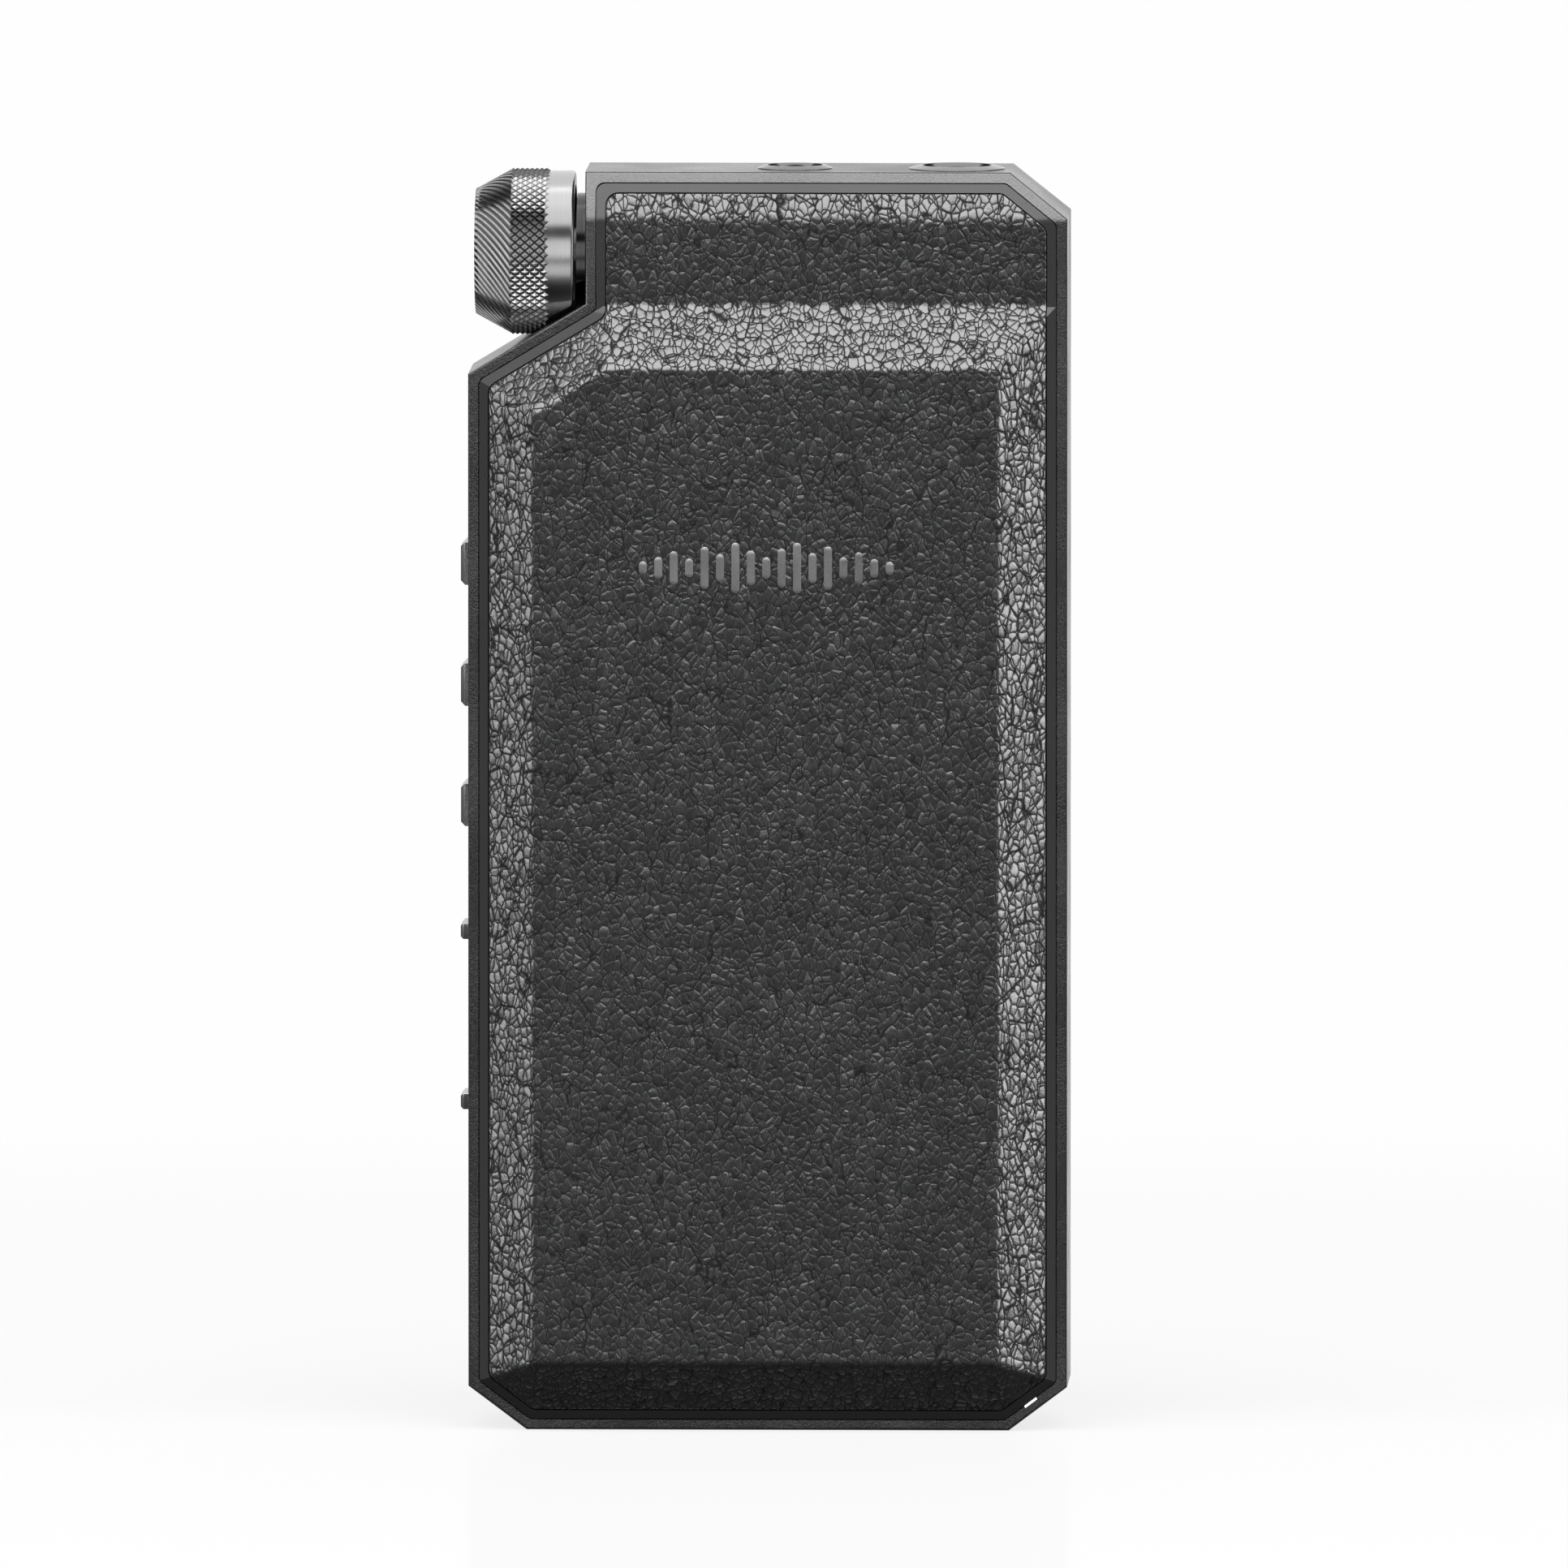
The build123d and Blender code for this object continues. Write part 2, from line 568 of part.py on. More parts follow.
def shield(name, place, width, height, thick, wall=0.2):
    """A drawn steel can, open towards the board."""
    with BuildPart() as can:
        with BuildSketch(at_depth(BOARD_FRONT)):
            with Locations(place):
                RectangleRounded(width, height, 0.6)
        extrude(amount=-thick)
        with BuildSketch(at_depth(BOARD_FRONT)):
            with Locations(place):
                Rectangle(width - 2 * wall, height - 2 * wall)
        extrude(amount=wall - thick, mode=Mode.SUBTRACT)
    can.part.label = name
    export_step(can.part, f"parts/{name}.step")


RADIO_PLACE, AUDIO_PLACE = (1.0, 45.0), (1.5, 59.5)
chips("processor_chip", [RADIO_PLACE], 8.0, 8.0, 0.9)
chips("dac_chips", [(-3.5, 59.5), (6.5, 59.5)], 5.0, 5.0, 0.9)
chips("amp_chips", [(-3.5, 64.0), (6.5, 64.0)], 3.0, 2.2, 0.8)
chips("power_chip", [(0.0, 22.0)], 5.0, 5.0, 0.8)
chips("capacitors", [(x, z) for x in (-9.0, -5.5, 6.0, 9.5) for z in (14.0, 26.0)], 1.7, 3.3, 1.7)
shield("radio_shield", RADIO_PLACE, 18.0, 12.5, 1.9)
shield("audio_shield", AUDIO_PLACE, 22.0, 13.0, 1.9)

# ---------------------------------------------------------------- battery
BATTERY_W, BATTERY_H, BATTERY_Z = 30.0, 46.0, 30.5
BATTERY_FRONT = -2.1
BATTERY_TAPE = 0.5
cover_underside = plateau_y + LEATHER_THICK + COVER_SHELL

with BuildPart() as battery:
    with BuildSketch(at_depth(BATTERY_FRONT)):
        with Locations((0, BATTERY_Z)):
            Rectangle(BATTERY_W, BATTERY_H)
    extrude(amount=BATTERY_FRONT - cover_underside - BATTERY_TAPE)
    fillet(battery.edges().filter_by(Axis.Z), 1.2)
battery.part.label = "battery"
export_step(battery.part, "parts/battery.step")

with BuildPart() as battery_tape:
    with BuildSketch(at_depth(cover_underside + BATTERY_TAPE)):
        with Locations((0, BATTERY_Z)):
            Rectangle(BATTERY_W - 4, BATTERY_H - 8)
    extrude(amount=BATTERY_TAPE)
battery_tape.part.label = "battery_tape"
export_step(battery_tape.part, "parts/battery_tape.step")

battery_top = BATTERY_Z + BATTERY_H / 2
CONNECTOR_HEIGHT = 0.9
connector_rear = BOARD_REAR - CONNECTOR_HEIGHT
with BuildPart() as battery_connector:
    with BuildSketch(at_depth(BOARD_REAR)):
        with Locations((0, battery_top + 4)):
            Rectangle(6.0, 2.4)
    extrude(amount=CONNECTOR_HEIGHT)
battery_connector.part.label = "battery_connector"
export_step(battery_connector.part, "parts/battery_connector.step")

TAB_Y = -3.0
with BuildPart() as battery_flex:
    with BuildSketch(Plane.YZ):
        Polygon(
            (TAB_Y, battery_top),
            (TAB_Y, battery_top + 1.6),
            (connector_rear - FLEX_THICK, battery_top + 2.6),
            (connector_rear - FLEX_THICK, battery_top + 5.0),
            (connector_rear, battery_top + 5.0),
            (connector_rear, battery_top + 2.55),
            (TAB_Y + FLEX_THICK, battery_top + 1.55),
            (TAB_Y + FLEX_THICK, battery_top),
            align=None,
        )
    extrude(amount=2.5, both=True)
battery_flex.part.label = "battery_flex"
export_step(battery_flex.part, "parts/battery_flex.step")


# ---------------------------------------------------------------- volume knob and its encoder
knob_rear_x = COLLAR_END_X - 0.15

with BuildPart() as knob_cap:
    with BuildSketch(Plane.XZ):
        with Locations((0, KNOB_Z)):
            Polygon(
                (KNOB_TIP_X + 0.15, 0),
                (KNOB_TIP_X + 0.15, KNOB_TIP_R - 0.9),
                (KNOB_TIP_X, KNOB_TIP_R - 0.75),
                (KNOB_TIP_X, KNOB_TIP_R),
                (CONE_END_X, GRIP_R - 0.05),
                (CONE_END_X, SPIGOT_R),
                (knob_rear_x, SPIGOT_R),
                (knob_rear_x, SHAFT_R),
                (SHAFT_TIP_X, SHAFT_R),
                (SHAFT_TIP_X, 0),
                align=None,
            )
    revolve(axis=knob_axis)
knob_cap.part.label = "knob_cap"
export_step(knob_cap.part, "parts/knob_cap.step")

with BuildPart() as knob_grip:
    with BuildSketch(Plane.XZ):
        with Locations((0, KNOB_Z)):
            Polygon(
                (CONE_END_X, SPIGOT_R),
                (CONE_END_X, GRIP_R),
                (GRIP_END_X - 0.3, GRIP_R),
                (GRIP_END_X, COLLAR_R),
                (GRIP_END_X, SPIGOT_R),
                align=None,
            )
    revolve(axis=knob_axis)
knob_grip.part.label = "knob_grip"
export_step(knob_grip.part, "parts/knob_grip.step")

with BuildPart() as knob_collar:
    with BuildSketch(Plane.XZ):
        with Locations((0, KNOB_Z)):
            Polygon(
                (GRIP_END_X, SPIGOT_R),
                (GRIP_END_X, COLLAR_R),
                (COLLAR_END_X - 0.12, COLLAR_R),
                (COLLAR_END_X, COLLAR_R - 0.12),
                (COLLAR_END_X, SPIGOT_R),
                align=None,
            )
    revolve(axis=knob_axis)
knob_collar.part.label = "knob_collar"
export_step(knob_collar.part, "parts/knob_collar.step")

with BuildPart() as knob_shaft:
    with BuildSketch(Plane.YZ.offset(SHAFT_TIP_X)):
        with Locations((0, KNOB_Z)):
            Circle(SHAFT_R)
    extrude(amount=SHAFT_END_X - SHAFT_TIP_X)
knob_shaft.part.label = "knob_shaft"
export_step(knob_shaft.part, "parts/knob_shaft.step")

with BuildPart() as knob_bushing:
    with BuildSketch(Plane.XZ):
        with Locations((0, KNOB_Z)):
            Polygon(
                (BUSHING_FACE_X, SHAFT_R + RUNNING_GAP),
                (BUSHING_FACE_X, BUSHING_R),
                (BAY_WALL_X, BUSHING_R),
                (BAY_WALL_X, BUSHING_BARREL_R),
                (ENCODER_FACE_X, BUSHING_BARREL_R),
                (ENCODER_FACE_X, SHAFT_R + RUNNING_GAP),
                align=None,
            )
    revolve(axis=knob_axis)
knob_bushing.part.label = "knob_bushing"
export_step(knob_bushing.part, "parts/knob_bushing.step")

with BuildPart() as encoder_nut:
    with BuildSketch(Plane.YZ.offset(BAY_WALL_X + WALL)):
        with Locations((0, KNOB_Z)):
            RegularPolygon(NUT_APOTHEM, 6, major_radius=False, rotation=30)
            Circle(BUSHING_BARREL_R, mode=Mode.SUBTRACT)
    extrude(amount=1.2)
encoder_nut.part.label = "encoder_nut"
export_step(encoder_nut.part, "parts/encoder_nut.step")

with BuildPart() as encoder_body:
    with BuildSketch(Plane.YZ.offset(ENCODER_FACE_X)):
        with Locations((0, KNOB_Z)):
            Rectangle(2 * JACK_LARGE["half"], 2 * ENCODER_HALF_Z)
    extrude(amount=ENCODER_END_X - ENCODER_FACE_X)
    with BuildSketch(Plane.YZ.offset(ENCODER_FACE_X)):
        with Locations((0, KNOB_Z)):
            Circle(SHAFT_R + 0.1)
    extrude(amount=SHAFT_END_X - ENCODER_FACE_X + 0.3, mode=Mode.SUBTRACT)
    # Pins down to the board's front face
    with BuildSketch(at_depth(BOARD_FRONT)):
        with Locations(*[(x, KNOB_Z - ENCODER_HALF_Z - 1.0) for x in (-9.0, -7.2, -5.4)]):
            Rectangle(0.6, 2.2)
    extrude(amount=-0.4)
encoder_body.part.label = "encoder_body"
export_step(encoder_body.part, "parts/encoder_body.step")

# ---------------------------------------------------------------- side buttons
LIP_GAP, LIP_THICK, LIP_MARGIN = 0.05, 0.4, 0.9
NUB_LENGTH = 0.25
PLUNGER_R, PLUNGER_LENGTH = 0.7, 1.0
TACT_FACE_X = -18.3
lip_x = inner_wall_x + LIP_GAP
plunger_x = lip_x + LIP_THICK + NUB_LENGTH

for number, z in enumerate(BUTTON_ZS, start=1):
    with BuildPart() as button:
        with BuildSketch(Plane.YZ.offset(-HALF_WIDTH - BUTTON_PROUD)):
            with Locations((0, z)):
                Rectangle(BUTTON_DEPTH, BUTTON_HEIGHT)
        extrude(amount=lip_x + HALF_WIDTH + BUTTON_PROUD)
        chamfer(button.faces().sort_by(Axis.X)[0].edges(), 0.3)
        with BuildSketch(Plane.YZ.offset(lip_x)):
            with Locations((0, z)):
                Rectangle(BUTTON_DEPTH + LIP_MARGIN, BUTTON_HEIGHT + LIP_MARGIN)
        extrude(amount=LIP_THICK)
        with BuildSketch(Plane.YZ.offset(lip_x + LIP_THICK)):
            with Locations((0, z)):
                Circle(PLUNGER_R + 0.1)
        extrude(amount=NUB_LENGTH)
    button.part.label = f"button_{number}"
    export_step(button.part, f"parts/button_{number}.step")

    with BuildPart() as plunger:
        with BuildSketch(Plane.YZ.offset(plunger_x)):
            with Locations((0, z)):
                Circle(PLUNGER_R)
        extrude(amount=PLUNGER_LENGTH)
    plunger.part.label = f"plunger_{number}"
    export_step(plunger.part, f"parts/plunger_{number}.step")

with BuildPart() as tact_switches:
    with BuildSketch(Plane.YZ.offset(TACT_FACE_X)):
        with Locations(*[(0, z) for z in BUTTON_ZS]):
            Rectangle(4.4, 3.4)
    extrude(amount=SIDE_BOARD_X - TACT_FACE_X)
    with BuildSketch(Plane.YZ.offset(TACT_FACE_X)):
        with Locations(*[(0, z) for z in BUTTON_ZS]):
            Circle(PLUNGER_R + 0.1)
    extrude(amount=plunger_x + PLUNGER_LENGTH + BUTTON_TRAVEL + 0.1 - TACT_FACE_X, mode=Mode.SUBTRACT)
tact_switches.part.label = "tact_switches"
export_step(tact_switches.part, "parts/tact_switches.step")

# ---------------------------------------------------------------- slide switches
SHOE_HEIGHT, SHOE_DEPTH = 4.7, 5.6
PEG, PEG_LENGTH = 1.0, 1.1
SWITCH_FACE_X = -18.4

for number, z in enumerate(SLIDER_ZS, start=1):
    with BuildPart() as slider:
        with BuildSketch(Plane.YZ.offset(-HALF_WIDTH - SLIDER_PROUD)):
            with Locations((0, z)):
                Rectangle(SLIDER_DEPTH, SLIDER_HEIGHT)
        extrude(amount=lip_x + HALF_WIDTH + SLIDER_PROUD)
        chamfer(slider.faces().sort_by(Axis.X)[0].edges(), 0.18)
        with BuildSketch(Plane.YZ.offset(lip_x)):
            with Locations((0, z)):
                Rectangle(SHOE_DEPTH, SHOE_HEIGHT)
        extrude(amount=LIP_THICK)
        with BuildSketch(Plane.YZ.offset(lip_x + LIP_THICK)):
            with Locations((0, z)):
                Rectangle(PEG, PEG)
        extrude(amount=PEG_LENGTH)
    slider.part.label = f"slider_{number}"
    export_step(slider.part, f"parts/slider_{number}.step")

with BuildPart() as slide_switches:
    with BuildSketch(Plane.YZ.offset(SWITCH_FACE_X)):
        with Locations(*[(0, z - SLIDER_TRAVEL / 2) for z in SLIDER_ZS]):
            Rectangle(3.2, 6.4)
    extrude(amount=SIDE_BOARD_X - SWITCH_FACE_X)
    with BuildSketch(Plane.YZ.offset(SWITCH_FACE_X)):
        with Locations(*[(0, z - SLIDER_TRAVEL / 2) for z in SLIDER_ZS]):
            Rectangle(PEG + 0.2, PEG + SLIDER_TRAVEL + 0.3)
    extrude(amount=PEG_LENGTH - 0.2, mode=Mode.SUBTRACT)
slide_switches.part.label = "slide_switches"
export_step(slide_switches.part, "parts/slide_switches.step")

with BuildPart() as side_board:
    with BuildSketch(Plane.YZ.offset(SIDE_BOARD_X)):
        with Locations((PLATE_REAR, 16)):
            Rectangle(6.6, 50, align=(Align.MAX, Align.MIN))
    extrude(amount=SIDE_BOARD_THICK)
side_board.part.label = "side_board"
export_step(side_board.part, "parts/side_board.step")

side_board_inner_x = SIDE_BOARD_X + SIDE_BOARD_THICK
with BuildPart() as side_flex:
    with BuildSketch(Plane.XY.offset(18)):
        Polygon(
            (side_board_inner_x, -2.0),
            (side_board_inner_x + FLEX_THICK, -2.0),
            (side_board_inner_x + FLEX_THICK, BOARD_FRONT),
            (-13.5, BOARD_FRONT),
            (-13.5, BOARD_FRONT + FLEX_THICK),
            (side_board_inner_x, BOARD_FRONT + FLEX_THICK),
            align=None,
        )
    extrude(amount=6)
side_flex.part.label = "side_flex"
export_step(side_flex.part, "parts/side_flex.step")

# ---------------------------------------------------------------- headphone sockets
ring_bottom = HEIGHT - RING_DEPTH
BODY_BORE_GAP = 0.3
CONTACT_THICK, CONTACT_WIDTH, CONTACT_HEIGHT = 0.25, 1.4, 2.0
CONTACT_GAP = 0.35
WINDOW_MARGIN = 0.15
PIN_PROUD, PIN_WIDTH, PIN_THICK = 0.45, 0.8, 0.3


def jack_ring(name, jack):
    """The flared metal ring round a socket's mouth."""
    with BuildPart() as ring:
        with BuildSketch(Plane.XZ):
            with Locations((jack["x"], 0)):
                Polygon(
                    (jack["bore"], ring_bottom),
                    (jack["flange"] - 0.35, ring_bottom),
                    (jack["flange"] - 0.35, HEIGHT),
                    (jack["flange"], HEIGHT),
                    (jack["flange"], HEIGHT + 0.05),
                    (jack["lip"], HEIGHT + RING_PROUD),
                    (jack["lip"] - 0.1, HEIGHT + RING_PROUD),
                    (jack["bore"], HEIGHT - 0.1),
                    align=None,
                )
        revolve(axis=Axis((jack["x"], 0, 0), (0, 0, 1)))
    ring.part.label = name
    export_step(ring.part, f"parts/{name}.step")


def jack_body(name, jack, contact_drops):
    """The moulded socket body with side windows, and its spring contacts outside the bore."""
    window_x = [(jack["x"] + side * jack["half"], 0) for side in (-1, 1)]
    with BuildPart() as body:
        with BuildSketch(Plane.XY.offset(ring_bottom)):
            with Locations((jack["x"], 0)):
                Rectangle(2 * jack["half"], 2 * jack["half"])
        extrude(amount=-jack["length"])
        with BuildSketch(Plane.XY.offset(ring_bottom)):
            with Locations((jack["x"], 0)):
                Circle(jack["bore"] + BODY_BORE_GAP)
        extrude(amount=0.8 - jack["length"], mode=Mode.SUBTRACT)
        for i, drop in enumerate(contact_drops):
            with BuildSketch(Plane.XY.offset(ring_bottom - drop)):
                with Locations(window_x[i % 2]):
                    Rectangle(2 * (jack["half"] - jack["bore"]), CONTACT_WIDTH + 2 * WINDOW_MARGIN)
            extrude(amount=-CONTACT_HEIGHT - 2 * WINDOW_MARGIN, mode=Mode.SUBTRACT)
    body.part.label = f"{name}_body"
    export_step(body.part, f"parts/{name}_body.step")

    with BuildPart() as contacts:
        for i, drop in enumerate(contact_drops):
            side = (-1, 1)[i % 2]
            leaf_x = jack["x"] + side * (jack["bore"] + CONTACT_GAP + CONTACT_THICK / 2)
            pin_x = jack["x"] + side * (jack["bore"] + CONTACT_GAP + jack["half"] + PIN_PROUD) / 2
            with BuildSketch(Plane.XY.offset(ring_bottom - drop - WINDOW_MARGIN)):
                with Locations((leaf_x, 0)):
                    Rectangle(CONTACT_THICK, CONTACT_WIDTH)
            extrude(amount=-CONTACT_HEIGHT)
            with BuildSketch(Plane.XY.offset(ring_bottom - drop - WINDOW_MARGIN)):
                with Locations((pin_x, 0)):
                    Rectangle(jack["half"] + PIN_PROUD - jack["bore"] - CONTACT_GAP, PIN_WIDTH)
            extrude(amount=-PIN_THICK)
    contacts.part.label = f"{name}_contacts"
    export_step(contacts.part, f"parts/{name}_contacts.step")


jack_ring("jack_3_5_ring", JACK_SMALL)
jack_body("jack_3_5", JACK_SMALL, (2.0, 4.5, 7.5, 10.0))
jack_ring("jack_4_4_ring", JACK_LARGE)
jack_body("jack_4_4", JACK_LARGE, (2.0, 4.5, 6.5, 9.0, 11.5))

# ---------------------------------------------------------------- charging and data sockets
USB_MOUTH_Z = 0.3
TONGUE_W, TONGUE_H = 6.69, 0.7
for name, x in zip(("usb_data", "usb_power"), USB_XS):
    with BuildPart() as shell:
        with BuildSketch(Plane.XY.offset(USB_MOUTH_Z)):
            with Locations((x, 0)):
                SlotOverall(USB_SHELL_W, USB_SHELL_H)
                SlotOverall(USB_OPEN_W, USB_OPEN_H, mode=Mode.SUBTRACT)
        extrude(amount=USB_LENGTH)
    shell.part.label = f"{name}_shell"
    export_step(shell.part, f"parts/{name}_shell.step")

    with BuildPart() as tongue:
        with BuildSketch(Plane.XY.offset(USB_MOUTH_Z + 0.9)):
            with Locations((x, 0)):
                Rectangle(TONGUE_W, TONGUE_H)
        extrude(amount=5.0)
        with BuildSketch(Plane.XY.offset(USB_MOUTH_Z + 5.9)):
            with Locations((x, 0)):
                SlotOverall(USB_OPEN_W, USB_OPEN_H)
        extrude(amount=1.5)
    tongue.part.label = f"{name}_tongue"
    export_step(tongue.part, f"parts/{name}_tongue.step")
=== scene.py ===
"""Looks of the portable audio player: leather back, satin metal, knurled knob, studio light and camera.

Lengths named in capitals are millimetres unless the name says otherwise; Blender works in metres.
"""

import json
import math

import bpy
import numpy as np
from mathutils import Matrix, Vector, noise


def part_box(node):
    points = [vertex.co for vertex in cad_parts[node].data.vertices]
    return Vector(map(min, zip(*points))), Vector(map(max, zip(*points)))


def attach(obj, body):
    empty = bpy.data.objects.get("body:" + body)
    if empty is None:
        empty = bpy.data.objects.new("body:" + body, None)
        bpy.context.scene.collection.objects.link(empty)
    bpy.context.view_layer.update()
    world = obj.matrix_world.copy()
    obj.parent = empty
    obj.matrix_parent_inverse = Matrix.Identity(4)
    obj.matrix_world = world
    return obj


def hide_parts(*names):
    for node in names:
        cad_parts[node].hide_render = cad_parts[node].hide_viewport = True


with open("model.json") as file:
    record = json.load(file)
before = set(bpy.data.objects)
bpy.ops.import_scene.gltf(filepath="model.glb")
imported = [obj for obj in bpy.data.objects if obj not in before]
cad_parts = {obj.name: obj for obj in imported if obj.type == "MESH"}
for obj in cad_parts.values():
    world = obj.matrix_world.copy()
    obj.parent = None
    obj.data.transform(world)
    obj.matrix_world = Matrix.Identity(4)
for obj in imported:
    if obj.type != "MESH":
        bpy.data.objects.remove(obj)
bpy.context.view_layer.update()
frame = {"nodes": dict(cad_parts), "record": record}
MM = 0.001
TINY = 1e-6


# ---------------------------------------------------------------- meshes
def mesh_piece(name, points, faces, material, body, replaces, smooth=True):
    """A mesh of points in millimetres that rides on a body and stands for CAD nodes."""
    mesh = bpy.data.meshes.new(name)
    mesh.from_pydata((np.asarray(points) * MM).tolist(), [], faces)
    mesh.validate()
    mesh.polygons.foreach_set("use_smooth", [smooth] * len(mesh.polygons))
    mesh.materials.append(material)
    piece = bpy.data.objects.new(name, mesh)
    bpy.context.scene.collection.objects.link(piece)
    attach(piece, body)
    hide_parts(*replaces)
    return piece


def sharpen(mesh, degrees):
    """Marks the edges that turn by more than the angle, so smooth shading stops there."""
    mesh.set_sharp_from_angle(angle=math.radians(degrees))


def grid_faces(rows, columns, closed=False, offset=0):
    """Quads over a grid of points numbered row by row; closed joins the last column to the first."""
    faces = []
    for i in range(rows - 1):
        for j in range(columns if closed else columns - 1):
            k = (j + 1) % columns
            a, b = offset + i * columns, offset + (i + 1) * columns
            faces.append((a + j, a + k, b + k, b + j))
    return faces


def turned(profile, segments, centre, axis):
    """A profile of (along, radius) turned round an axis through centre: points and faces."""
    along, radius = np.array(profile, float).T
    angle = np.linspace(0, 2 * math.pi, segments, endpoint=False)
    ring = radius[:, None] * np.cos(angle), radius[:, None] * np.sin(angle)
    far = np.repeat(along[:, None], segments, axis=1)
    if axis == "X":
        points = np.stack([far, centre[1] + ring[0], centre[2] + ring[1]], axis=-1)
        faces = grid_faces(len(profile), segments, closed=True)
        return points.reshape(-1, 3), [f[::-1] for f in faces]
    points = np.stack([centre[0] + ring[0], centre[1] + ring[1], far], axis=-1)
    return points.reshape(-1, 3), grid_faces(len(profile), segments, closed=True)


def rounded(profile, radius, steps=4):
    """The profile with each inner corner replaced by a small arc."""
    out = [profile[0]]
    for before, here, after in zip(profile, profile[1:], profile[2:]):
        p, a, b = (np.array(v, float) for v in (here, before, after))
        to_a, to_b = a - p, b - p
        reach = min(radius, 0.45 * np.linalg.norm(to_a), 0.45 * np.linalg.norm(to_b))
        start = p + to_a / np.linalg.norm(to_a) * reach
        end = p + to_b / np.linalg.norm(to_b) * reach
        for t in np.linspace(0, 1, steps):
            out.append(tuple((1 - t) ** 2 * start + 2 * t * (1 - t) * p + t**2 * end))
    out.append(profile[-1])
    return out


# ---------------------------------------------------------------- materials
# Most values of a noise texture lie in this range
NOISE_RANGE = (0.3, 0.7)


class Nodes:
    """Short-hand for adding nodes to a tree; an input is given as a value or as a socket."""

    def __init__(self, tree):
        self.tree = tree

    def add(self, kind, inputs=(), **settings):
        node = self.tree.nodes.new(kind)
        for key, value in settings.items():
            setattr(node, key, value)
        for key, value in dict(inputs).items():
            if isinstance(value, bpy.types.NodeSocket):
                self.tree.links.new(value, node.inputs[key])
            else:
                node.inputs[key].default_value = value
        return node

    def math(self, operation, a, b=0.0):
        return self.add("ShaderNodeMath", {0: a, 1: b}, operation=operation).outputs[0]

    def ramp(self, value, low, high, to_low, to_high, smooth=False):
        inputs = {"Value": value, "From Min": low, "From Max": high}
        inputs.update({"To Min": to_low, "To Max": to_high})
        kind = "SMOOTHSTEP" if smooth else "LINEAR"
        return self.add("ShaderNodeMapRange", inputs, interpolation_type=kind).outputs["Result"]


class Surface(Nodes):
    """One procedural material: its node tree, its shader and the textures it is made from."""

    def __init__(self, name, **inputs):
        self.material = bpy.data.materials.new(name)
        self.material.use_nodes = True
        super().__init__(self.material.node_tree)
        self.shader = self.tree.nodes["Principled BSDF"]
        for key, value in inputs.items():
            self.shader.inputs[key.replace("_", " ")].default_value = value
        self.place = self.add("ShaderNodeTexCoord").outputs["Object"]

    def link(self, socket, name):
        self.tree.links.new(socket, self.shader.inputs[name])

    def noise(self, size, detail=2.0, place=None, roughness=0.5):
        """Soft noise whose patches are about size millimetres across."""
        inputs = {"Vector": place or self.place, "Scale": 1 / (size * MM)}
        inputs.update({"Detail": detail, "Roughness": roughness})
        return self.add("ShaderNodeTexNoise", inputs).outputs["Fac"]

    def mix(self, factor, a, b):
        """Mix of two colours; the node's colour sockets are its inputs 6 and 7 and its output 2."""
        node = self.add("ShaderNodeMix", {"Factor": factor}, data_type="RGBA")
        for key, value in ((6, a), (7, b)):
            if isinstance(value, bpy.types.NodeSocket):
                self.tree.links.new(value, node.inputs[key])
            else:
                node.inputs[key].default_value = (*value, 1.0)
        return node.outputs[2]

    def bump(self, height, depth, normal=None):
        """Tilts the surface by a height of 0 to 1 that is depth millimetres tall."""
        inputs = {"Height": height, "Distance": depth * MM, "Strength": 1.0}
        if normal:
            inputs["Normal"] = normal
        return self.add("ShaderNodeBump", inputs).outputs["Normal"]

    def spread(self, value, to_low, to_high):
        """The range that most of a noise lies in, mapped to the two values."""
        return self.ramp(value, *NOISE_RANGE, to_low, to_high)

    def gloss(self, rough, span, broad, fine):
        """Roughness near rough, varied by span with a broad and a fine noise."""
        cloudy = self.math("ADD", self.spread(broad, -span, span), rough)
        self.link(self.math("ADD", cloudy, self.spread(fine, span, -span)), "Roughness")


def grey(value, tint=(1.0, 1.0, 1.0)):
    """A grey tone in linear light, times a tint."""
    return tuple(value * t for t in tint)


# Cells of the leather: size, turn in degrees and stretch
FINE_CELLS = (0.50, 38, 0.72)
LONG_CELLS = (1.1, -50, 0.42)
# Waviness of the creases: how many waves to a metre, and how far they wander
WARP_SCALE, LEATHER_WARP = 1300.0, 0.26
# How far from its crease a cell's dome and its line of painted shade reach, in cell sizes
DOME_REACH, CREASE_REACH, CROSS_REACH = 0.42, 0.12, 0.055
DOME_SHARE, LEATHER_LEAN = 0.7, 1.8
LEATHER_RELIEF, LEATHER_PORES, PORE_SIZE = 0.036, 0.010, 0.11
LEATHER_DARK, LEATHER_LIGHT = grey(0.007, (0.97, 1.0, 1.06)), grey(0.009, (0.97, 1.0, 1.06))
# Painted shade in the creases: a near-black tone mixed in at this share, and less shine in them (the
# crease specular below)
LEATHER_CREASE_SHADE, CREASE_SHADE_SHARE, LEATHER_CLOUDS = grey(0.001), 0.85, 9.0
LEATHER_SPECULAR, CREASE_SHADE_SPECULAR = 1.0, 0.15
LEATHER_ROUGH, CREASE_ROUGH, LEATHER_GLOSS = 0.26, 0.71, 0.015

# Anodised metal: a slightly cool grey
COOL = (1, 1, 1.05)

# Turned metal; the knurl's grooves are darkened with painted shade and its points keep the metal's own
# tone
SMUDGE_SIZE = 2.5
KNURL_GROOVE_SHADE, KNURL_SHADE_RADII = grey(0.05), (5.52, 5.61)

# Moulded surfaces: clouds against grain, share of the grain in the tone, range of tone and gloss
MOULD_CLOUDS, MOULD_FINE_SHARE, MOULD_TONES, MOULD_GLOSS = 18, 0.6, (0.35, 0.65), 0.08

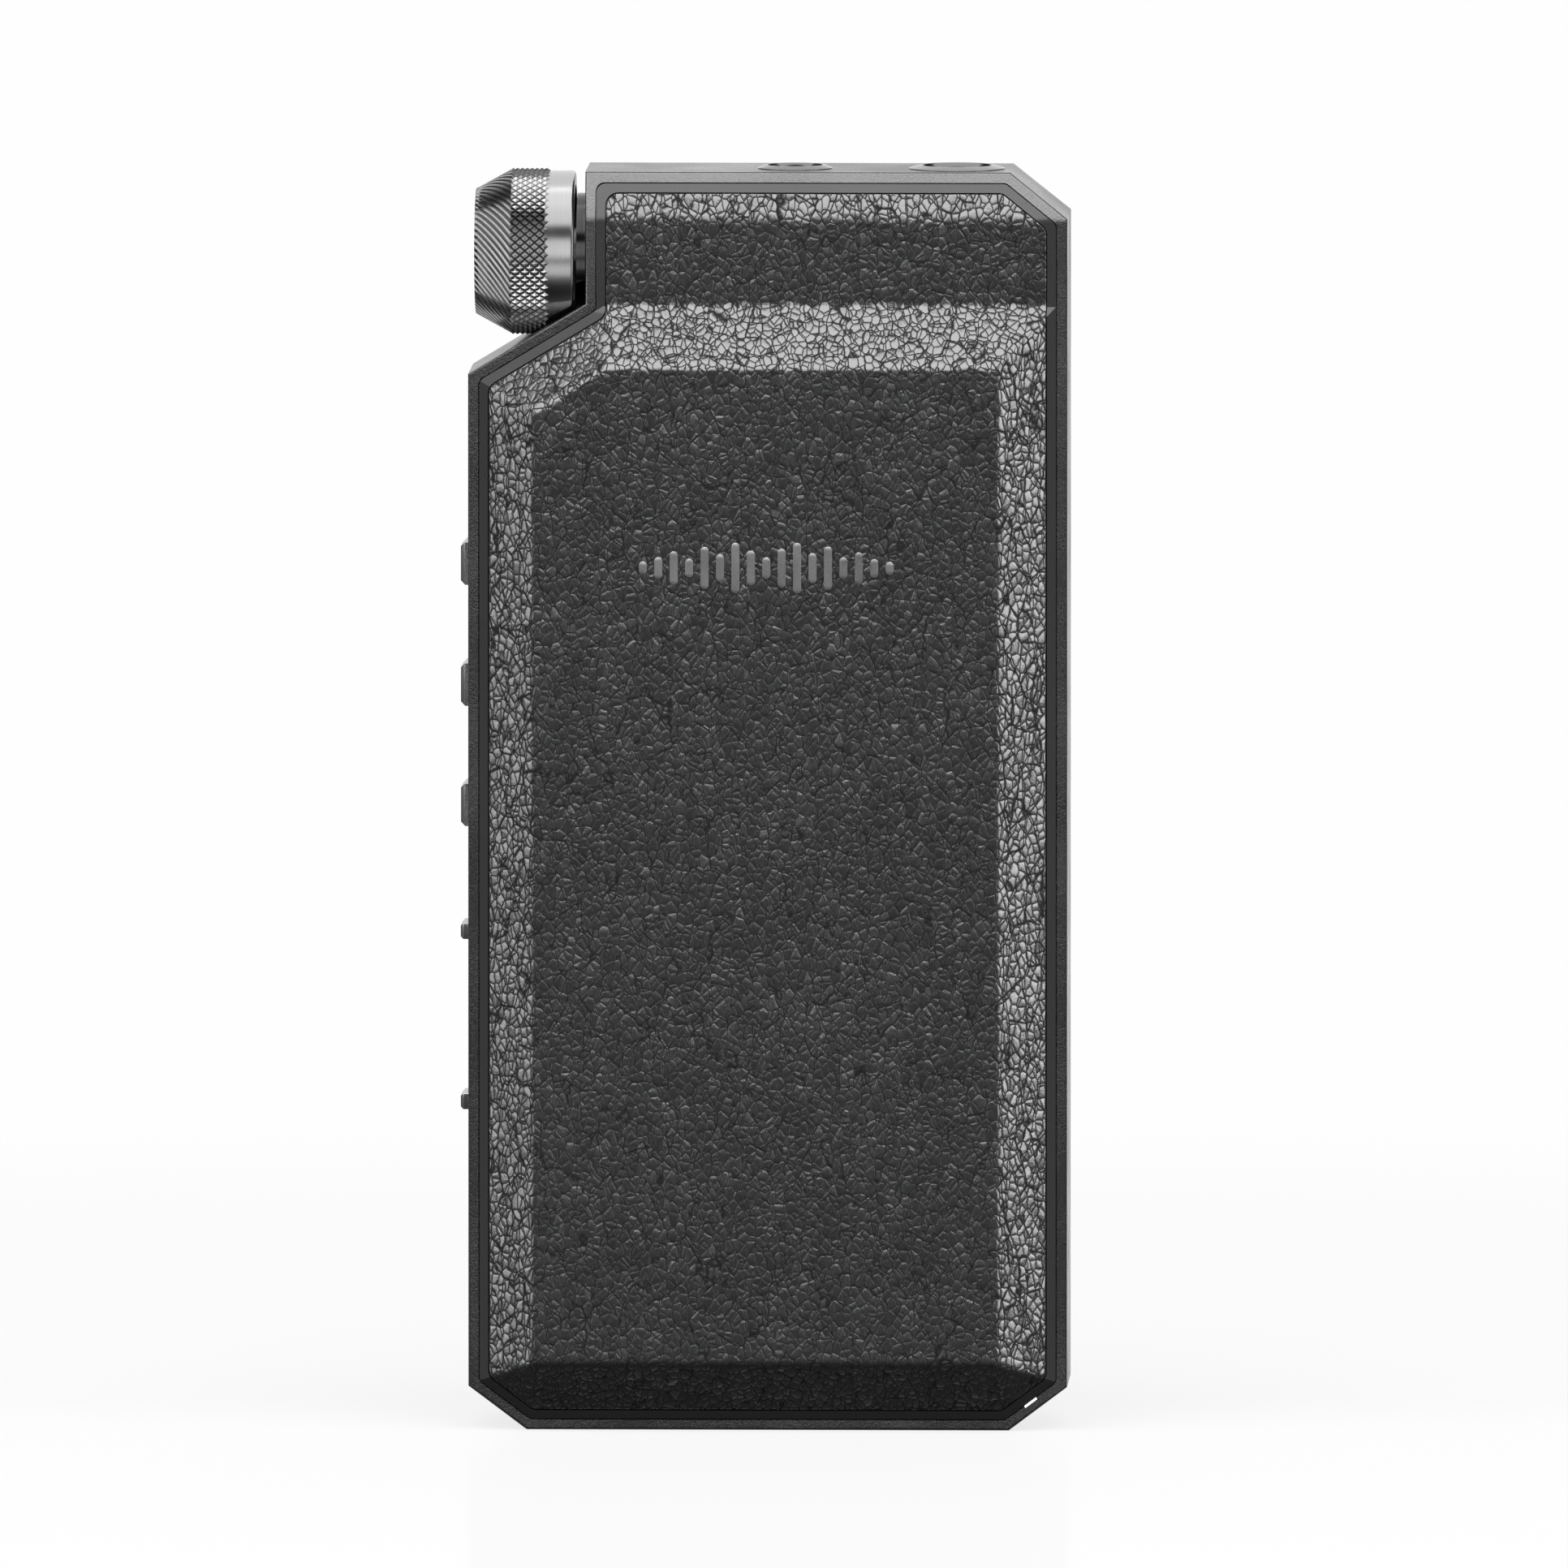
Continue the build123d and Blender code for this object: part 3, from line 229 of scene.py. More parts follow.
# Cover glass: border and panel behind it, wipe marks, and a slight wave
BORDER_TONE, PANEL_TONE, PANEL_BLUR = grey(0.0022), grey(0.0075, (0.9, 0.95, 1.1)), 0.04
WIPE_SIZE, WIPE_RANGE, GLASS_ROUGH = 7.0, (0.35, 0.7), (0.02, 0.075)
GLASS_WAVE_SIZE, GLASS_WAVE = 3.0, 0.0006

# Circuit board: tracks that show in blotches under the mask
MASK_TONE, TRACK_TONE = (0.004, 0.016, 0.010), (0.02, 0.06, 0.035)
BLOTCH_SIZE, BLOTCH_RANGE, TRACK_HEIGHT = 1.1, (0.45, 0.55), 0.015
MASK_GRAIN, MASK_ROUGH = 0.3, (0.25, 0.4)

# Painted light: the status light's guide glows as if lit, standing in for a thin bright slit
GUIDE_PAINTED_GLOW = 0.8


def speckled(name, colour, dark, rough, rough_span, grain, depth, roughness, tones, cloud, **inputs):
    """Speckled grain and cloudy gloss; grain and cloud are sizes in millimetres."""
    s = Surface(name, **inputs)
    speckle = s.noise(grain, detail=3.0, roughness=roughness)
    clouds = s.noise(cloud, detail=4.0)
    s.link(s.mix(s.ramp(speckle, *tones, 0, 1), dark, colour), "Base Color")
    s.gloss(rough, rough_span, clouds, speckle)
    s.link(s.bump(speckle, depth), "Normal")
    return s.material


def blasted_metal(*look):
    """Bead-blasted or finely cast bare metal; look goes from name to depth, as in speckled."""
    return speckled(*look, roughness=0.7, tones=(0.32, 0.68), cloud=6.0, Metallic=1.0)


def anodised(*look, specular):
    """Bead-blasted metal under a dark sealed layer; look goes from name to depth."""
    return speckled(*look, roughness=0.75, tones=(0.36, 0.64), cloud=7.0, Specular_IOR_Level=specular)


def turned_metal(name, colour, dark, rough, rough_span, line, depth, centre, axis, valley=None):
    """Metal turned on a lathe: fine rings about an axis through centre, with slight smudges.

    valley gives two radii: painted shade darkens the metal at the first and fades out by the second,
    where the metal has its own tone.
    """
    s = Surface(name, Metallic=1.0)
    inputs = {0: s.place, 1: [c * MM for c in centre]}
    offset = s.add("ShaderNodeVectorMath", inputs, operation="SUBTRACT").outputs[0]
    part = s.add("ShaderNodeSeparateXYZ", {"Vector": offset})
    flat = [part.outputs[k] for k in "XYZ" if k != axis]
    square = [s.math("MULTIPLY", f, f) for f in flat]
    radius = s.math("SQRT", s.math("ADD", *square))
    rings = s.add("ShaderNodeCombineXYZ", {"X": radius, "Y": part.outputs[axis]}).outputs[0]
    lines = s.noise(line, detail=2.0, place=rings, roughness=0.6)
    smudge = s.noise(SMUDGE_SIZE, detail=3.0)
    tone = s.mix(s.spread(lines, 0, 1), dark, colour)
    # Painted shade: darkest at the first valley radius, fading to the metal's own tone by the second
    if valley:
        tone = s.mix(s.ramp(radius, valley[0] * MM, valley[1] * MM, 0, 1), KNURL_GROOVE_SHADE, tone)
    s.link(tone, "Base Color")
    s.gloss(rough, rough_span, smudge, lines)
    s.link(s.bump(lines, depth), "Normal")
    return s.material


def moulded(name, colour, light, rough, grain, depth, specular=0.5):
    """Moulded plastic, foam, tape or board: fine texture with a cloudy tone."""
    s = Surface(name, Specular_IOR_Level=specular)
    fine = s.noise(grain, detail=3.0, roughness=0.65)
    clouds = s.noise(grain * MOULD_CLOUDS, detail=3.0)
    tone = s.math(
        "ADD",
        s.math("MULTIPLY", fine, MOULD_FINE_SHARE),
        s.math("MULTIPLY", clouds, 1 - MOULD_FINE_SHARE),
    )
    s.link(s.mix(s.ramp(tone, *MOULD_TONES, 0, 1), colour, light), "Base Color")
    s.link(s.spread(clouds, rough - MOULD_GLOSS, rough + MOULD_GLOSS), "Roughness")
    s.link(s.bump(fine, depth), "Normal")
    return s.material


def leather_surface():
    """Pebbled dark leather: tilted, irregular cells with fine creases between them that get painted
    shade, and pores.
    """
    s = Surface("leather_grain")
    middle = (0.5, 0.5, 0.5)

    def vector(operation, inputs, output=0):
        return s.add("ShaderNodeVectorMath", inputs, operation=operation).outputs[output]

    inputs = {"Vector": s.place, "Scale": WARP_SCALE, "Detail": 2.0}
    warp = s.add("ShaderNodeTexNoise", inputs)
    shift = vector("SUBTRACT", {0: warp.outputs["Color"], 1: middle})
    warped = vector("MULTIPLY_ADD", {0: shift, 1: (LEATHER_WARP * MM,) * 3, 2: s.place})

    def cells(size, turn, stretch):
        """Distance to the nearest crease and a different lean on each cell, both in cell sizes."""
        inputs = {
            "Vector": warped,
            "Rotation": (0, math.radians(turn), 0),
            "Scale": (1.0, 1.0, stretch),
        }
        place = s.add("ShaderNodeMapping", inputs).outputs[0]
        inputs = {"Vector": place, "Scale": 1 / (size * MM), "Randomness": 1.0}
        edge = s.add("ShaderNodeTexVoronoi", inputs, feature="DISTANCE_TO_EDGE").outputs["Distance"]
        cell = s.add("ShaderNodeTexVoronoi", inputs, feature="F1")
        here = vector("SCALE", {0: place, 3: 1 / (size * MM)})
        centre = vector("SCALE", {0: cell.outputs["Position"], 3: 1 / (size * MM)})
        offset = vector("SUBTRACT", {0: here, 1: centre})
        lean = vector("SUBTRACT", {0: cell.outputs["Color"], 1: middle})
        return edge, vector("DOT_PRODUCT", {0: offset, 1: lean}, "Value")

    edge_one, lean_one = cells(*FINE_CELLS)
    edge_two, lean_two = cells(*LONG_CELLS)
    fall = s.ramp(edge_one, 0.0, DOME_REACH, 1, 0)
    dome = s.math("SUBTRACT", 1.0, s.math("MULTIPLY", fall, fall))
    crease = s.ramp(edge_one, 0.0, CREASE_REACH, 0, 1, smooth=True)
    cross = s.ramp(edge_two, 0.0, CROSS_REACH, 0, 1, smooth=True)
    height = s.math(
        "ADD", s.math("MULTIPLY", dome, DOME_SHARE), s.math("MULTIPLY", cross, 1 - DOME_SHARE)
    )
    for lean in (lean_one, lean_two):
        height = s.math("ADD", height, s.math("MULTIPLY", lean, LEATHER_LEAN))
    pores = s.noise(PORE_SIZE, detail=3.0, roughness=0.7)
    s.link(s.bump(pores, LEATHER_PORES, normal=s.bump(height, LEATHER_RELIEF)), "Normal")
    # Painted shade: the creases get a near-black colour and less shine, as if shaded; the cell tops
    # keep the leather's tone
    top = s.math("MULTIPLY", crease, cross)
    s.link(s.ramp(top, 0.0, 1.0, CREASE_SHADE_SPECULAR, LEATHER_SPECULAR), "Specular IOR Level")
    clouds = s.noise(LEATHER_CLOUDS, detail=3.0)
    base = s.mix(s.spread(clouds, 0, 1), LEATHER_DARK, LEATHER_LIGHT)
    s.link(s.mix(s.ramp(top, 0, 1, CREASE_SHADE_SHARE, 0), base, LEATHER_CREASE_SHADE), "Base Color")
    worn = s.ramp(top, 0.0, 1.0, CREASE_ROUGH, LEATHER_ROUGH)
    s.link(s.math("ADD", worn, s.spread(clouds, -LEATHER_GLOSS, LEATHER_GLOSS)), "Roughness")
    return s.material


def glass_surface(name, display_low, display_high):
    """Black cover glass, with the panel behind it a shade lighter than its printed border."""
    s = Surface(name, Coat_Weight=0.4)
    part = s.add("ShaderNodeSeparateXYZ", {"Vector": s.place})
    inside = None
    for k, axis in ((0, "X"), (2, "Z")):
        for side, edge in ((1, display_low[k]), (-1, display_high[k])):
            step = s.math("MULTIPLY", s.math("SUBTRACT", part.outputs[axis], edge), side)
            step = s.ramp(step, -PANEL_BLUR * MM, PANEL_BLUR * MM, 0, 1, smooth=True)
            inside = step if inside is None else s.math("MULTIPLY", inside, step)
    s.link(s.mix(inside, BORDER_TONE, PANEL_TONE), "Base Color")
    wipe = s.noise(WIPE_SIZE, detail=4.0)
    s.link(s.ramp(wipe, *WIPE_RANGE, *GLASS_ROUGH), "Roughness")
    s.link(s.bump(s.noise(GLASS_WAVE_SIZE, detail=1.0), GLASS_WAVE), "Normal")
    return s.material


def board_surface():
    """Solder-masked board: dark mask over faint straight tracks."""
    s = Surface("board_mask")
    inputs = {
        "Vector": s.place,
        "Scale": 900.0,
        "Mortar Size": 0.06,
        "Brick Width": 1.7,
        "Row Height": 0.34,
    }
    brick = s.add("ShaderNodeTexBrick", inputs)
    blotch = s.noise(BLOTCH_SIZE, detail=2.0)
    track = s.math("MULTIPLY", brick.outputs["Fac"], s.ramp(blotch, *BLOTCH_RANGE, 0, 1))
    s.link(s.mix(track, MASK_TONE, TRACK_TONE), "Base Color")
    s.link(s.spread(s.noise(MASK_GRAIN), *MASK_ROUGH), "Roughness")
    s.link(s.bump(track, TRACK_HEIGHT), "Normal")
    return s.material


# ---------------------------------------------------------------- dimensions shared by the pieces
HALF_WIDTH, HEIGHT, REAR_Y = 20.6, 86.7, -5.0
CREASE_Z, CREASE_DROP = 83.5, 0.8
PLATEAU_Y = -8.0
COVER_INSET, LEATHER_INSET, LEATHER_CORNER = 0.78, 1.44, 0.9
UPPER_EDGE_Z = 77.5
OUTLINE = [
    (-16.6, 0),
    (16.6, 0),
    (20.6, 3),
    (20.6, 83.55),
    (16.65, 86.7),
    (-12.55, 86.7),
    (-12.55, 77.65),
    (-20.6, 72.8),
    (-20.6, 3),
]
CREST_LEFT, CREST_RIGHT, CREST_BOTTOM, CREST_TOP = -16.0, 15.85, 4.8, 73.5
NOTCH_X, NOTCH_Z = -10.85, 70.1
KNOB_Z = 80.95

knob_centre = (0, 0, KNOB_Z)
display_low, display_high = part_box("display_module")

# ---------------------------------------------------------------- a material for each slot
# After the name and two tones come the roughness and its span (moulded has no span), and then
# the size and the depth of the grain or of the lathe lines in millimetres
slots = {
    "blasted_aluminium": anodised(
        "blasted_aluminium",
        grey(0.010, COOL),
        grey(0.002, COOL),
        0.25,
        0.07,
        0.13,
        0.022,
        specular=0.80,
    ),
    "satin_rim": anodised(
        "satin_rim", grey(0.020, COOL), grey(0.014, COOL), 0.24, 0.03, 0.09, 0.003, specular=0.30
    ),
    "leather": leather_surface(),
    "bright_metal": blasted_metal("bright_metal", grey(0.34), grey(0.22), 0.30, 0.05, 0.12, 0.004),
    "black_glass": glass_surface("black_glass", display_low, display_high),
    "tape": moulded("tape", grey(0.012), grey(0.02), 0.6, 0.08, 0.004),
    "foam": moulded("foam", grey(0.02), grey(0.045), 0.9, 0.12, 0.06, specular=0.1),
    "display": moulded("display", grey(0.006), grey(0.01), 0.25, 0.2, 0.001),
    "flex": moulded("flex", (0.16, 0.07, 0.02), (0.24, 0.11, 0.03), 0.35, 0.3, 0.004),
    "bare_aluminium": blasted_metal("bare_aluminium", grey(0.72), grey(0.6), 0.32, 0.07, 0.15, 0.004),
    "steel": blasted_metal("steel", grey(0.56), grey(0.46), 0.25, 0.06, 0.1, 0.002),
    "circuit_board": board_surface(),
    "chip": moulded("chip", grey(0.018), grey(0.03), 0.5, 0.05, 0.003),
    "capacitor": moulded("capacitor", (0.30, 0.19, 0.05), (0.36, 0.24, 0.08), 0.4, 0.1, 0.002),
    "tin_plate": blasted_metal("tin_plate", grey(0.62), grey(0.5), 0.3, 0.06, 0.2, 0.003),
    "battery_foil": blasted_metal("battery_foil", grey(0.5), grey(0.4), 0.38, 0.08, 0.6, 0.02),
    "black_plastic": moulded("black_plastic", grey(0.010), grey(0.018), 0.42, 0.06, 0.003),
    "white_plastic": moulded("white_plastic", grey(0.62), grey(0.72), 0.45, 0.06, 0.003),
    "knob_dark": turned_metal(
        "knob_dark", grey(0.34), grey(0.25), 0.2, 0.04, 0.05, 0.002, knob_centre, "X"
    ),
    "knob_bright": turned_metal(
        "knob_bright", grey(0.64), grey(0.50), 0.17, 0.04, 0.06, 0.002, knob_centre, "X", KNURL_SHADE_RADII
    ),
    "knob_polished": turned_metal(
        "knob_polished", grey(0.56), grey(0.50), 0.22, 0.03, 0.05, 0.0004, knob_centre, "X"
    ),
    "bushing_satin": turned_metal(
        "bushing_satin", grey(0.11), grey(0.07), 0.2, 0.05, 0.05, 0.003, knob_centre, "X"
    ),
    "brass": blasted_metal("brass", (0.55, 0.38, 0.13), (0.45, 0.3, 0.1), 0.28, 0.05, 0.1, 0.003),
    "socket_ring": blasted_metal("socket_ring", grey(0.30), grey(0.24), 0.18, 0.03, 0.05, 0.001),
    "gold_contact": blasted_metal(
        "gold_contact", (0.8, 0.55, 0.2), (0.7, 0.46, 0.15), 0.2, 0.04, 0.1, 0.001
    ),
    "button_metal": blasted_metal("button_metal", grey(0.38), grey(0.28), 0.26, 0.04, 0.05, 0.004),
    "light_guide": moulded("light_guide", grey(0.8), grey(0.9), 0.3, 0.05, 0.001),
}
# Painted light: the guide glows though it is no lamp
guide = slots["light_guide"].node_tree.nodes["Principled BSDF"]
guide.inputs["Emission Color"].default_value = (1, 1, 1, 1)
guide.inputs["Emission Strength"].default_value = GUIDE_PAINTED_GLOW

slot_of = {row["node"]: row["material_slot"] for row in frame["record"]["subparts"]}
for node_name, node in frame["nodes"].items():
    node.data.materials.clear()
    node.data.materials.append(slots[slot_of[node_name]])

# ---------------------------------------------------------------- crisp shading on the CAD nodes
SHARP_ANGLE = math.radians(28.0)
WELD, EVENNESS = 0.0005, 100
EDGE_ROUND, ROUND_STEPS = {"button": 0.07, "slider": 0.05, "emblem": 0.05}, 3
for node_name, node in frame["nodes"].items():
    mesh = node.data
    if mesh.attributes.get("custom_normal"):
        mesh.attributes.remove(mesh.attributes["custom_normal"])
    weld = node.modifiers.new("weld", "WELD")
    weld.merge_threshold = WELD * MM
    width = EDGE_ROUND.get(node_name.split("_")[0])
    if width:
        bevel = node.modifiers.new("round", "BEVEL")
        bevel.width, bevel.segments = width * MM, ROUND_STEPS
        bevel.limit_method, bevel.angle_limit = "ANGLE", SHARP_ANGLE
    split_edges = node.modifiers.new("split", "EDGE_SPLIT")
    split_edges.split_angle, split_edges.use_edge_sharp = SHARP_ANGLE, False
    even = node.modifiers.new("even", "WEIGHTED_NORMAL")
    even.mode, even.weight = "FACE_AREA", EVENNESS
    mesh.shade_smooth()


# ---------------------------------------------------------------- leather
def inset(points, distance):
    """The closed outline moved inwards by distance, corners kept sharp."""
    p = np.array(points, float)
    ahead = np.roll(p, -1, axis=0) - p
    ahead /= np.linalg.norm(ahead, axis=1)[:, None]
    inward = np.stack([-ahead[:, 1], ahead[:, 0]], axis=1)
    back, back_in = np.roll(ahead, 1, axis=0), np.roll(inward, 1, axis=0)
    turn = (back * inward).sum(1)
    slide = distance * (1 - (back_in * inward).sum(1)) / turn
    return p + back_in * distance + back * slide[:, None]


def filleted(points, radius, steps=9):
    """The closed outline with every corner replaced by an arc of that radius."""
    out = []
    for before, here, after in zip(np.roll(points, 1, axis=0), points, np.roll(points, -1, axis=0)):
        a, b = before - here, after - here
        a, b = a / np.linalg.norm(a), b / np.linalg.norm(b)
        half = math.acos(float(np.clip(a @ b, -1, 1))) / 2
        middle = here + (a + b) / np.linalg.norm(a + b) * radius / math.sin(half)
        start, end = here + a * radius / math.tan(half), here + b * radius / math.tan(half)
        u, v = start - middle, end - middle
        sweep = math.atan2(u[0] * v[1] - u[1] * v[0], u @ v)
        for t in np.linspace(0, sweep, steps):
            c, s = math.cos(t), math.sin(t)
            out.append(middle + np.array([u[0] * c - u[1] * s, u[0] * s + u[1] * c]))
    return np.array(out)


def plane_y(foot_a, foot_b, crest):
    """Function for the depth of a plane through two foot points on the rear face and a crest point."""
    a = np.array([foot_a[0], REAR_Y, foot_a[1]])
    b = np.array([foot_b[0], REAR_Y, foot_b[1]])
    c = np.array([crest[0], PLATEAU_Y, crest[1]])
    normal = np.cross(b - a, c - a)
    return lambda x, z: REAR_Y - (normal[0] * (x - a[0]) + normal[2] * (z - a[2])) / normal[1]


foot = inset(OUTLINE, COVER_INSET)
base_left, base_right, right_low, bay, left_high, left_low = (foot[i] for i in (0, 1, 2, 6, 7, 8))
bevels = [
    plane_y(left_low, left_high, (CREST_LEFT, NOTCH_Z)),
    plane_y(left_high, bay, (NOTCH_X, CREST_TOP)),
    plane_y((-HALF_WIDTH, UPPER_EDGE_Z), (HALF_WIDTH, UPPER_EDGE_Z), (0, CREST_TOP)),
    plane_y(right_low, (right_low[0], HEIGHT), (CREST_RIGHT, CREST_BOTTOM)),
    plane_y(base_left, base_right, (0, CREST_BOTTOM)),
    plane_y(base_left, left_low, (CREST_LEFT, CREST_BOTTOM)),
    plane_y(base_right, right_low, (CREST_RIGHT, CREST_BOTTOM)),
]
CREST_ROUND, FOOT_ROUND, CREASE_ROUND = 0.16, 0.10, 0.10


def soft_max(a, b, width):
    """The larger of two depths, rounded where they meet."""
    h = np.maximum(width - np.abs(a - b), 0) / width
    return np.maximum(a, b) + h * h * width / 4


def leather_depth(x, z):
    """Depth of the leather's outer surface at x, z."""
    top = np.full_like(x, PLATEAU_Y)
    for bevel in bevels:
        top = soft_max(top, bevel(x, z), CREST_ROUND)
    lean = REAR_Y + (z - CREASE_Z) * CREASE_DROP / (HEIGHT - CREASE_Z)
    rear = soft_max(np.full_like(x, REAR_Y), lean, CREASE_ROUND)
    return -soft_max(-top, -rear, FOOT_ROUND)


COLUMNS, ROW_STEP, ROW_GAP, ROW_DECIMALS = 190, 0.2, 0.012, 4
EDGE_STEPS = (0.0, 0.03, 0.08, 0.15)
EDGE_TUCK, EDGE_REACH, WALL_DEPTH, CALM_REACH = 0.07, 0.09, 0.32, 1.0
UNDULATION, UNDULATION_SIZE = 0.012, 2.2
COBBLE, COBBLE_SIZE, COBBLE_TOP, COBBLE_MIDDLE = 0.008, 0.7, 1.2, 0.6
LEATHER_SHARP = 50

outline = filleted(inset(OUTLINE, LEATHER_INSET), LEATHER_CORNER)
lowest, highest = outline[:, 1].min(), outline[:, 1].max()
last_low = max(i for i in range(len(outline)) if outline[i, 1] < lowest + TINY)
ring = np.roll(outline, -last_low, axis=0)
first_high = min(i for i in range(len(ring)) if ring[i, 1] > highest - TINY)
right_chain, left_chain = ring[: first_high + 1], ring[first_high + 1 :][::-1]
row_heights = [
    np.arange(lowest, highest, ROW_STEP),
    outline[:, 1],
    [lowest + e for e in EDGE_STEPS],
    [highest - e for e in EDGE_STEPS],
]
rows = np.unique(np.round(np.concatenate(row_heights), ROW_DECIMALS))
rows = np.clip(rows[np.concatenate([[True], np.diff(rows) > ROW_GAP])], lowest, highest)
rows[-1] = highest
x_left = np.interp(rows, left_chain[:, 1], left_chain[:, 0])
x_right = np.interp(rows, right_chain[:, 1], right_chain[:, 0])
inner = np.linspace(0, 1, COLUMNS)[1:-1]
grid_x = []
for low, high in zip(x_left, x_right):
    span = high - low
    edges = np.array(EDGE_STEPS) / span
    middle = edges[-1] + (1 - 2 * edges[-1]) * inner
    grid_x.append(low + span * np.concatenate([edges, middle, 1 - edges[::-1]]))
grid_x = np.array(grid_x)
grid_z = np.repeat(rows[:, None], grid_x.shape[1], axis=1)
grid_y = leather_depth(grid_x, grid_z)
from_edge = np.minimum(
    np.minimum(grid_x - x_left[:, None], x_right[:, None] - grid_x),
    np.minimum(grid_z - lowest, highest - grid_z),
)
tuck = np.clip(1 - from_edge / EDGE_REACH, 0, 1)
calm = np.clip(from_edge / CALM_REACH, 0, 1)


def relief(place):
    """Height of the leather's slow waves and soft cobbles at a place."""
    cobble = noise.voronoi(place / COBBLE_SIZE)[0][1]
    wave = UNDULATION * noise.noise(place / UNDULATION_SIZE)
    return wave + COBBLE * (min(cobble, COBBLE_TOP) - COBBLE_MIDDLE)


places = zip(grid_x.ravel(), grid_y.ravel(), grid_z.ravel())
lift = np.array([relief(Vector(place)) for place in places]).reshape(grid_x.shape)
grid_y = grid_y + EDGE_TUCK * tuck**2 - lift * calm
n_rows, n_columns = grid_x.shape
leather_points = np.stack([grid_x, grid_y, grid_z], axis=-1).reshape(-1, 3)
leather_faces = grid_faces(n_rows, n_columns)
border = (
    list(range(n_columns))
    + [i * n_columns + n_columns - 1 for i in range(1, n_rows)]
    + [(n_rows - 1) * n_columns + j for j in range(n_columns - 2, -1, -1)]
    + [i * n_columns for i in range(n_rows - 2, 0, -1)]
)
wall = leather_points[border] + np.array([0, WALL_DEPTH, 0])
first_wall = len(leather_points)
leather_points = np.concatenate([leather_points, wall])
for k in range(len(border)):
    after = (k + 1) % len(border)
    leather_faces.append((border[after], border[k], first_wall + k, first_wall + after))
leather = mesh_piece(
    "leather_skin",
    leather_points,
    leather_faces,
    slots["leather"],
    "root",
    ["leather_panel"],
)
sharpen(leather.data, LEATHER_SHARP)

# ---------------------------------------------------------------- volume knob
RIBS, RIB_SWEEP = 60, math.radians(-35)
CONE_TIP_X, CONE_TIP_R = -20.2, 4.3
CONE_END_X, CONE_END_R = -17.68, 5.685
RIB_DEPTH, RIB_STEPS, RIB_ROWS, RIB_FADE = 0.20, 10, 16, 0.10
# The land of a rib ends and its flank ends at these shares of half a rib
RIB_LAND, RIB_FLANK = 0.44, 0.86
DISH_R, DISH_DEPTH, DISH_LIP, DISH_CENTRE = 3.4, 0.15, 0.15, 0.05
TIP_ROUND, TIP_BACK = 0.06, 0.02
GRIP_END_X, GRIP_R = -15.0, 5.735
KNURL_PITCH, KNURL_DEPTH, KNURL_STEPS, TOOTH_ROW = 0.67, 0.22, 8, 3.5
# Height of the ground between the teeth of the last row
TOOTH_GAP = -0.1
COLLAR_END_X, COLLAR_R, COLLAR_CUT, COLLAR_LIP, BORE_R = -13.35, 5.55, 0.14, 5.0, 4.6
COLLAR_SEGMENTS = 256
CONE_SHARP, TURNED_SHARP = 30, 40


def to_knob(x, radius, angle):
    """Points at distances along and from the knob's axis; the arguments are spread over one grid."""
    x, radius, angle = np.broadcast_arrays(x, radius, angle)
    return np.stack([x, -radius * np.cos(angle), KNOB_Z + radius * np.sin(angle)], axis=-1)


def rib_height(t):
    """Height across one rib, 0 in the groove and 1 on the land."""
    return np.clip((RIB_FLANK - np.abs(t - 0.5) * 2) / (RIB_FLANK - RIB_LAND), 0, 1)


def triangle(t):
    """A wave of straight lines: 0 at whole numbers and 1 half-way between them."""
    return 1 - np.abs(2 * (t - np.floor(t)) - 1)


def turned_rows(profile, angle):
    """Rows of points for a profile of (along, radius), one column at each angle."""
    along, radius = np.array(profile).T
    return to_knob(along[:, None], radius[:, None], angle[None, :])


cone_columns = RIBS * RIB_STEPS
share = np.linspace(0, 1, RIB_ROWS)[:, None]
cone_x = CONE_TIP_X + (CONE_END_X - CONE_TIP_X) * share
cone_r = CONE_TIP_R + (CONE_END_R - CONE_TIP_R) * share
cone_slope = math.atan2(CONE_END_R - CONE_TIP_R, CONE_END_X - CONE_TIP_X)
rib = rib_height((np.arange(cone_columns) % RIB_STEPS) / RIB_STEPS)
cut = RIB_DEPTH * (1 - rib)[None, :] * np.clip(share / RIB_FADE, 0, 1)
tip_angle = np.arange(cone_columns) * 2 * math.pi / cone_columns
cone_rows = to_knob(
    cone_x + cut * math.sin(cone_slope),
    cone_r - cut * math.cos(cone_slope),
    tip_angle + RIB_SWEEP * share,
)
tip_profile = rounded(
    [
        (CONE_TIP_X + DISH_DEPTH, DISH_CENTRE),
        (CONE_TIP_X + DISH_DEPTH, DISH_R),
        (CONE_TIP_X, DISH_R + DISH_LIP),
        (CONE_TIP_X, CONE_TIP_R - TIP_ROUND),
        (CONE_TIP_X + TIP_BACK, CONE_TIP_R),
    ],
    TIP_ROUND,
    steps=3,
)
back_profile = [(CONE_END_X, CONE_END_R - RIB_DEPTH), (CONE_END_X, BORE_R)]
cap_rows = np.concatenate(
    [
        turned_rows(tip_profile, tip_angle),
        cone_rows,
        turned_rows(back_profile, tip_angle + RIB_SWEEP),
    ]
)
cap = mesh_piece(
    "knob_cone",
    cap_rows.reshape(-1, 3),
    grid_faces(len(cap_rows), cone_columns, closed=True),
    slots["knob_dark"],
    "knob",
    ["knob_cap"],
)
sharpen(cap.data, CONE_SHARP)

